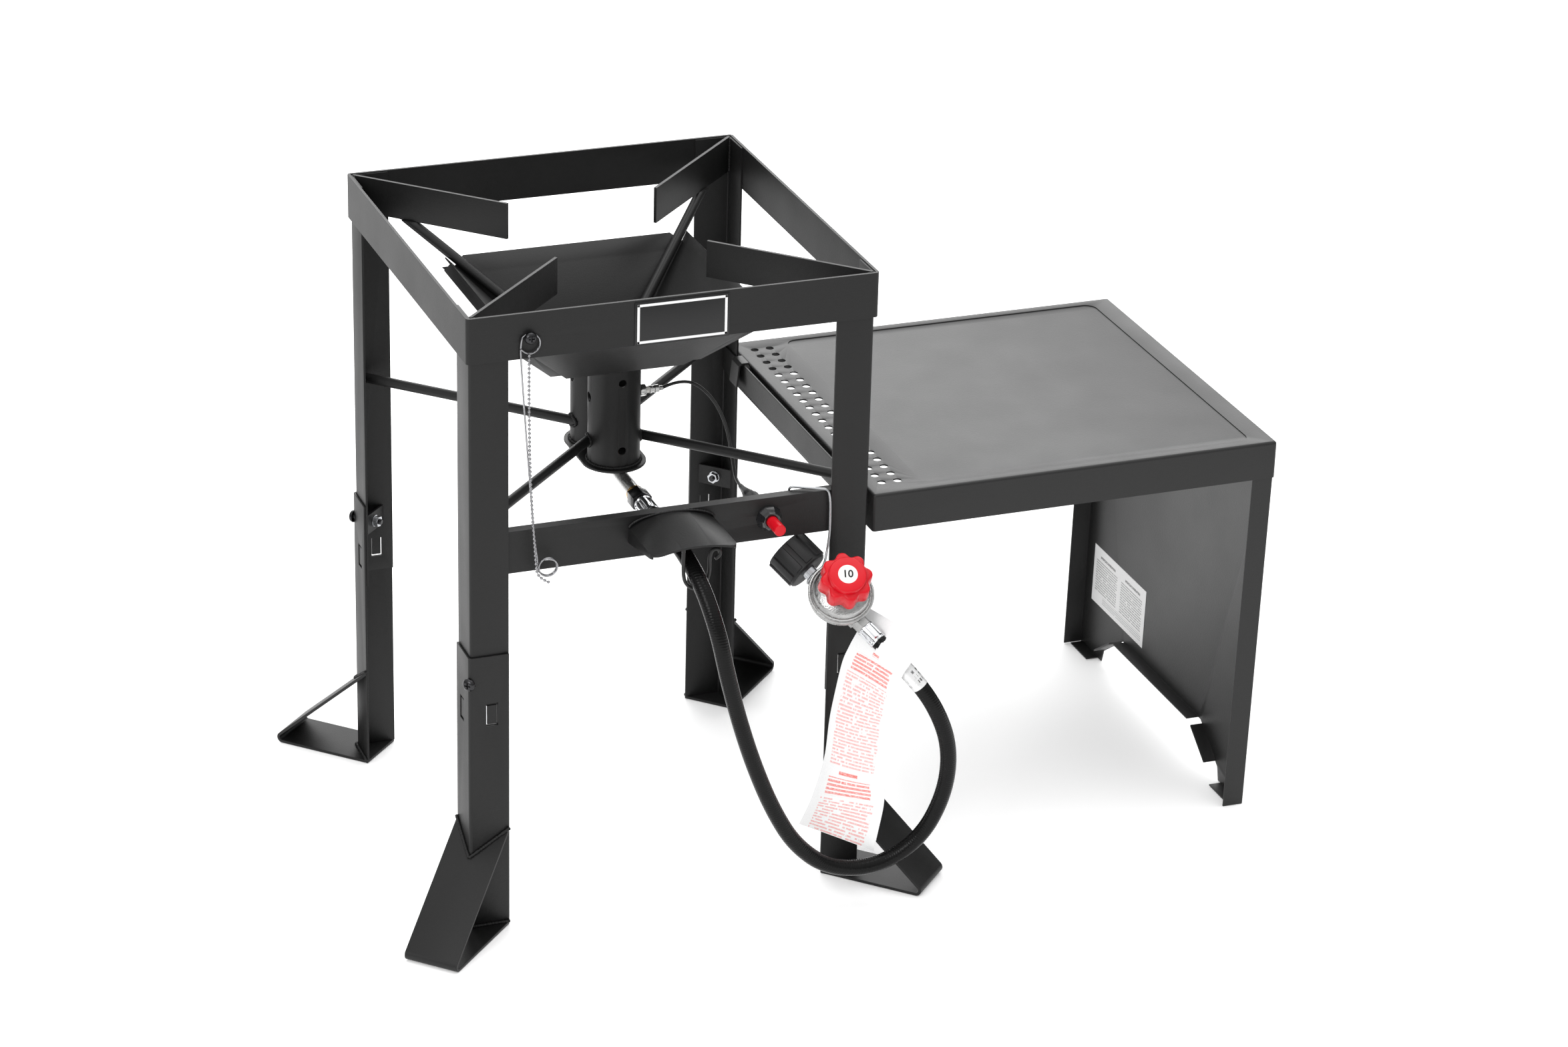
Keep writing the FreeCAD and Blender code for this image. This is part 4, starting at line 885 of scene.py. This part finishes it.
piece("igniter_connector", lathe(CONNECTOR, electrode_x, 32), nickel, "bright_zinc",
      replaced=["igniter_boots"], smooth=35)
piece("igniter_boot", lathe(BOOT, boot_place, 40), dull_black, "black_plastic", smooth=35)

# ------------------------------------------------------- tag, band and plates
TAG_ROWS = [                          # its left and right edge, from the top down
    ((189.2, -237.8, 306.2), (220.8, -305.4, 297.0)),
    ((177.5, -243.0, 288.0), (206.3, -308.8, 279.0)),
    ((170.5, -238.0, 268.0), (198.5, -304.5, 262.0)),
    ((165.5, -231.0, 244.0), (195.5, -296.0, 236.0)),
    ((158.0, -229.0, 200.0), (193.0, -292.0, 205.0)),
    ((151.0, -229.0, 143.0), (190.0, -290.0, 150.0)),
    ((141.0, -229.0, 106.0), (192.0, -286.0, 112.0)),
    ((126.0, -232.0, 77.0), (189.0, -274.0, 58.0))]


def smooth_row(rows, place):
    """A row between the given ones, on a curve through them all."""
    k = min(int(place), len(rows) - 2)
    t = place - k
    before, start, end, after = (rows[min(max(k + n, 0), len(rows) - 1)] for n in (-1, 0, 1, 2))
    return tuple(0.5 * (2 * b + t * (c - a) + t * t * (2 * a - 5 * b + 4 * c - d)
                        + t ** 3 * (3 * b - a - 3 * c + d))
                 for a, b, c, d in zip(before, start, end, after))


HOLE_START, HOLE_END = -16, 4.0       # along the hose; past it the card is in front
HOLE_R = HOSE_D / 2 + 0.6


def hose_tag():
    """Tag card threaded on the hose just past its ferrule: its top end sticks up behind
    the ferrule, and the rest passes in front of the hose and hangs."""
    rows = [tuple(Vector(p) for p in pair) for pair in TAG_ROWS]
    count, across = 110, 36
    levels = [smooth_row(rows, (len(rows) - 1) * k / (count - 1)) for k in range(count)]
    lengths, gone = [0.0], 0.0
    for (a, b), (c, d) in zip(levels, levels[1:]):
        gone += ((c + d) / 2 - (a + b) / 2).length
        lengths.append(gone)
    grid = []
    for k, (left, right) in enumerate(levels):
        share = lengths[k] / gone
        face = (right - left).cross(Vector((0, 0, 1))).normalized()
        row = []
        for n in range(across + 1):
            s = n / across
            curl = math.sin(math.pi * s) * (2.6 * math.sin(2.2 * math.pi * share + 0.6) - 0.6)
            wave = 1.1 * math.sin(7.0 * share * math.pi + 3.0 * s) * share
            row.append(left.lerp(right, s) - face * (curl + wave))
        grid.append(row)
    clear_of_hose(grid)
    work = bmesh.new()
    layer = work.loops.layers.uv.new("own_map")
    verts = [[work.verts.new(p) for p in row] for row in grid]
    round_hole = set()
    for k in range(count - 1):
        for n in range(across):
            corners = ((n, k), (n, k + 1), (n + 1, k + 1), (n + 1, k))
            middle = sum((grid[j][i] for i, j in corners), Vector()) / 4 - HOSE_END
            ahead = middle.dot(OUTLET)
            if HOLE_START < ahead < HOLE_END and (middle - OUTLET * ahead).length < HOLE_R:
                round_hole.update(verts[j][i] for i, j in corners)
                continue
            face = work.faces.new([verts[j][i] for i, j in corners])
            for loop, (i, j) in zip(face.loops, corners):
                loop[layer].uv = (i / across, lengths[j] / TAG_LENGTH)
    for vert in round_hole:
        off = vert.co - HOSE_END
        axis = OUTLET * off.dot(OUTLET)
        if (off - axis).length < 0.9 * HOLE_R:
            vert.co += OUTLET * HOLE_END - axis
        else:
            vert.co = HOSE_END + axis + (off - axis).normalized() * HOLE_R
    bmesh.ops.delete(work, geom=[v for v in work.verts if not v.link_faces], context="VERTS")
    thing = linked("tag", mesh_from(work))
    thick = thing.modifiers.new("card", "SOLIDIFY")
    thick.thickness, thick.offset = TAG_THICK, 0.0
    return meshed(thing)


NEAR = Vector((-0.749, -0.646, 0.148))    # square to the hose, out of the card's face
FERRULE_START, FERRULE_CLEAR = -34, 10.4
HOSE_CLEAR = HOSE_D / 2 + 0.9


def clear_of_hose(grid):
    """Press the card's points to the near side of the hose past the hole, and to the far
    side of the ferrule before it, easing the card between them."""
    to_mm = STAND.inverted()
    hose = [to_mm @ p for p in hose_run[::-1]]
    hose = [p for p in hose if (p - HOSE_END).length < 90]
    shift = [[0.0] * len(row) for row in grid]
    wanted = {}
    for k, row in enumerate(grid):
        for n, p in enumerate(row):
            ahead = (p - HOSE_END).dot(OUTLET)
            if FERRULE_START <= ahead < -2:
                axis, reach, side = HOSE_END + OUTLET * ahead, FERRULE_CLEAR, -1
            elif ahead > HOLE_END:
                axis = min(hose, key=lambda q: (q - p - NEAR * (q - p).dot(NEAR)).length)
                reach, side = HOSE_CLEAR, 1
            else:
                continue
            off = p - axis
            height = off.dot(NEAR)
            aside = (off - NEAR * height).length
            if aside < reach:
                wanted[k, n] = (side, side * math.sqrt(reach ** 2 - aside ** 2) - height)
    last = len(grid[0]) - 1
    for _ in range(40):
        fresh = [row[:] for row in shift]
        for k in range(1, len(grid) - 1):
            for n in range(last + 1):
                left, right = shift[k][max(n - 1, 0)], shift[k][min(n + 1, last)]
                fresh[k][n] = (shift[k - 1][n] + shift[k + 1][n] + left + right) / 4.03
        shift = fresh
        for (k, n), (side, need) in wanted.items():
            shift[k][n] = max(shift[k][n], need) if side > 0 else min(shift[k][n], need)
    for k, row in enumerate(grid):
        for n in range(len(row)):
            row[n] = row[n] + NEAR * shift[k][n]


hose_tag_card = piece("hose_tag_card", hose_tag(), card, "tag_paper", replaced=["hose_tag"], smooth=60)


def stretch(run, low, high):
    """The part of a run between two distances from its far end, in metres."""
    gone, kept = 0.0, []
    for here, after in zip(run[::-1], run[-2::-1]):
        step = (after - here).length
        for share in (n / 4 for n in range(4)):
            if low <= gone + share * step <= high:
                kept.append(here.lerp(after, share))
        gone += step
    return kept


band_path = stretch(hose_run, *BAND_FROM_END)
piece("hose_band_sleeve", tube(band_path, 0.0084, 40), foil, "silver_label",
      replaced=["hose_band"], placed=True)

# Name plate, left blank: a black face inside a white border and a thin dark edge.
plate = block((-41, RING_FACE - 0.8, 592.5), (52.2, RING_FACE, 636), 0.3)
piece("name_plate_back", plate, plate_black, "plate_enamel", replaced=["name_plate"])


def frame_strip(low, high, width, y):
    """A flat rectangular frame on the ring's face."""
    (x0, z0), (x1, z1) = low, high
    sides = (((x0, z0), (x1, z0 + width)), ((x0, z1 - width), (x1, z1)),
             ((x0, z0), (x0 + width, z1)), ((x1 - width, z0), (x1, z1)))
    return joined(*(block((a, y[0], b), (c, y[1], d), 0.12) for (a, b), (c, d) in sides))


border = frame_strip((-38.6, 594.6), (50.0, 633.6), 2.4, (RING_FACE - 1.15, RING_FACE - 0.6))
piece("name_plate_border", border, plate_white, "plate_enamel")
softened("safety_label", label_print, "silver_label", 0)

# ---------------------------------------------------------------------- welds
def around(axis_point, direction, radius, slide, steps=26):
    """A ring round a rod, each point slid along the rod onto what it is welded to."""
    direction = Vector(direction).normalized()
    side = direction.orthogonal().normalized()
    up = direction.cross(side)
    ring = []
    for k in range(steps + 1):
        a = 2 * math.pi * k / steps
        out = (side * math.cos(a) + up * math.sin(a)) * radius
        ring.append(slide(Vector(axis_point) + out, direction))
    return ring


def onto_tube(sign):
    """Slide a point inward onto a burner tube's wall."""
    def slide(point, direction):
        away = Vector((point.x, point.y - sign * TUBE_Y, 0))
        flat = Vector((direction.x, direction.y, 0))
        b, c = away.dot(flat), away.length_squared - (TUBE_R + 0.3) ** 2
        root = b * b - c
        return point + direction * (-b + math.sqrt(root)) if root > 0 else point
    return slide


def into_corner(corner):
    """Slide a point outward until it meets a leg's inner faces."""
    def slide(point, direction):
        pairs = ((point.x, direction.x), (point.y, direction.y))
        return point + direction * min((LEG_INNER - 0.5 - abs(p)) / abs(d) for p, d in pairs)
    return slide


seams, fine_seams = [], []
for corner in CORNERS:
    sign = -1 if corner[0] == "f" else 1
    out = diagonal(corner, 1)
    seams.append(around(diagonal(corner, 0, 0, BURNER_ROD_Z), out, ROD_R + 0.4, onto_tube(sign)))
    seams.append(around(diagonal(corner, 200, 0, BURNER_ROD_Z), out, ROD_R + 0.4, into_corner(corner)))
    for side in (-1, 1):
        seams.append([diagonal(corner, LEG_U - 3.0, side * 2.2, z) for z in (603, 636)])
        seams.append([diagonal(corner, HEEL_U + 1.0, side * 0.8, 81.2),
                      diagonal(corner, HEEL_U - 27, side * 28.6, 106)])
        seams.append([diagonal(corner, HEEL_U + 0.8, side * 0.8, 3.8),
                      diagonal(corner, HEEL_U - 27, side * 28.4, 3.8)])
        fine_seams.append([diagonal(corner, LEG_U - 17.4, side * 17.6, z) for z in (256, 276)])
    fine_seams.append([diagonal(corner, 215, 0, 601.2), diagonal(corner, 226, 0, 601.2)])
for sign in (-1, 1):
    for z in (400.6, 503.9):
        radius = TUBE_R + 0.4
        arc = [Vector((radius * math.cos(a), sign * TUBE_Y + radius * math.sin(a), z))
               for a in (math.radians(d) for d in range(0, 361, 8))]
        seams.append([p for p in arc if sign * p.y > 4])
    fine_seams.append([(sign * 4.6, -31, 396.9), (sign * 4.6, 31, 396.9)])
    fine_seams.append([(sign * 196.3, -197.2, 376.5), (sign * 196.3, -197.2, 413.5)])
fine_seams.append([(43 * math.cos(a), -199.0, 405.0 + 12.4 * math.sin(a))
                   for a in (math.radians(d) for d in range(8, 173, 6))])
weld = weld_tree()
weld_mesh = joined(grown("welds", guide(seams), weld,
                         {"Width": 0.0036, "Ripple": 0.0011, "Finish": black_coat, "Seed": 3}),
                   grown("fine_welds", guide(fine_seams), weld,
                         {"Width": 0.0026, "Ripple": 0.0010, "Finish": black_coat, "Seed": 8}))
piece("weld_beads", weld_mesh, black_coat, "black_powder_coat", smooth=80, placed=True)

# ---------------------------------------------------------------- cord starts and runs, worked out and not used
tuple(at(HOSE_START))
[tuple(p) for p in hose_run]
tuple(at(LEAD_ROUTE[0]))
[tuple(p) for p in lead_run]
tuple(at(CHAIN_ROUTE[0]))
[tuple(p) for p in chain_run]


# ------------------------------------------------------------- studio and view
def lamp(name, place, target, size, power):
    light = bpy.data.lights.new(name, "AREA")
    light.shape, light.size, light.size_y = "RECTANGLE", size[0], size[1]
    light.energy = power
    thing = linked(name, light)
    thing.location = place
    thing.rotation_euler = (Vector(target) - Vector(place)).to_track_quat("-Z", "Y").to_euler()


world = bpy.data.worlds.new("studio")
world.use_nodes = True
sky = Tree(world.node_tree)
sky.tree.nodes.clear()
way = sky.add("ShaderNodeTexCoord", output="Generated")
height = sky.add("ShaderNodeSeparateXYZ", None, {0: way}).out(2)
TENT = ((0.0, rgb(0.25)), (0.35, rgb(0.75)), (0.8, rgb(1.15)))      # from level to overhead
tent = sky.add("ShaderNodeValToRGB", {"stops": TENT}, {0: height})
glow = sky.add("ShaderNodeBackground", None, {"Color": tent, "Strength": 1.0})
sky.feed(sky.tree.nodes.new("ShaderNodeOutputWorld"), 0, glow)
bpy.context.scene.world = world
lamp("overhead", (0.2, 0.2, 2.6), (0.1, 0, 0.3), (2.4, 2.4), 36)
lamp("back_glow", (0.9, 3.2, 1.9), (0.1, 0, 0.4), (3.6, 2.2), 80)
lamp("left_front", (-2.4, -2.2, 1.9), (0, 0, 0.35), (1.6, 1.6), 40)

floor_mesh = bpy.data.meshes.new("floor")
corners = [(x, y, -0.0005) for x, y in ((-6, -6), (6, -6), (6, 8), (-6, 8))]
floor_mesh.from_pydata(corners, [], [(0, 1, 2, 3)])
studio = Finish("studio_floor", roughness=0.75)
studio.set("Base Color", studio.blend(studio.noise(studio.object_place(), 3.0), rgb(0.90), rgb(0.94)))
studio.set("Emission Color", rgb(1.0))
studio.set("Emission Strength", 0.22)
floor_mesh.materials.append(studio.material)
linked("floor", floor_mesh)

CAMERA_PLACE = (-1266.799, -3725.712, 2119.784)
CAMERA_TURN = (65.431, -1.448, -20.724)                     # degrees
view = bpy.data.cameras.new("view")
view.lens, view.sensor_width = 99.78, 36.0
view.clip_end = 50.0
camera = linked("view", view)
camera.location = at(CAMERA_PLACE)
camera.rotation_euler = tuple(math.radians(a) for a in CAMERA_TURN)
bpy.context.scene.camera = camera
bpy.context.scene.view_settings.view_transform = "Standard"
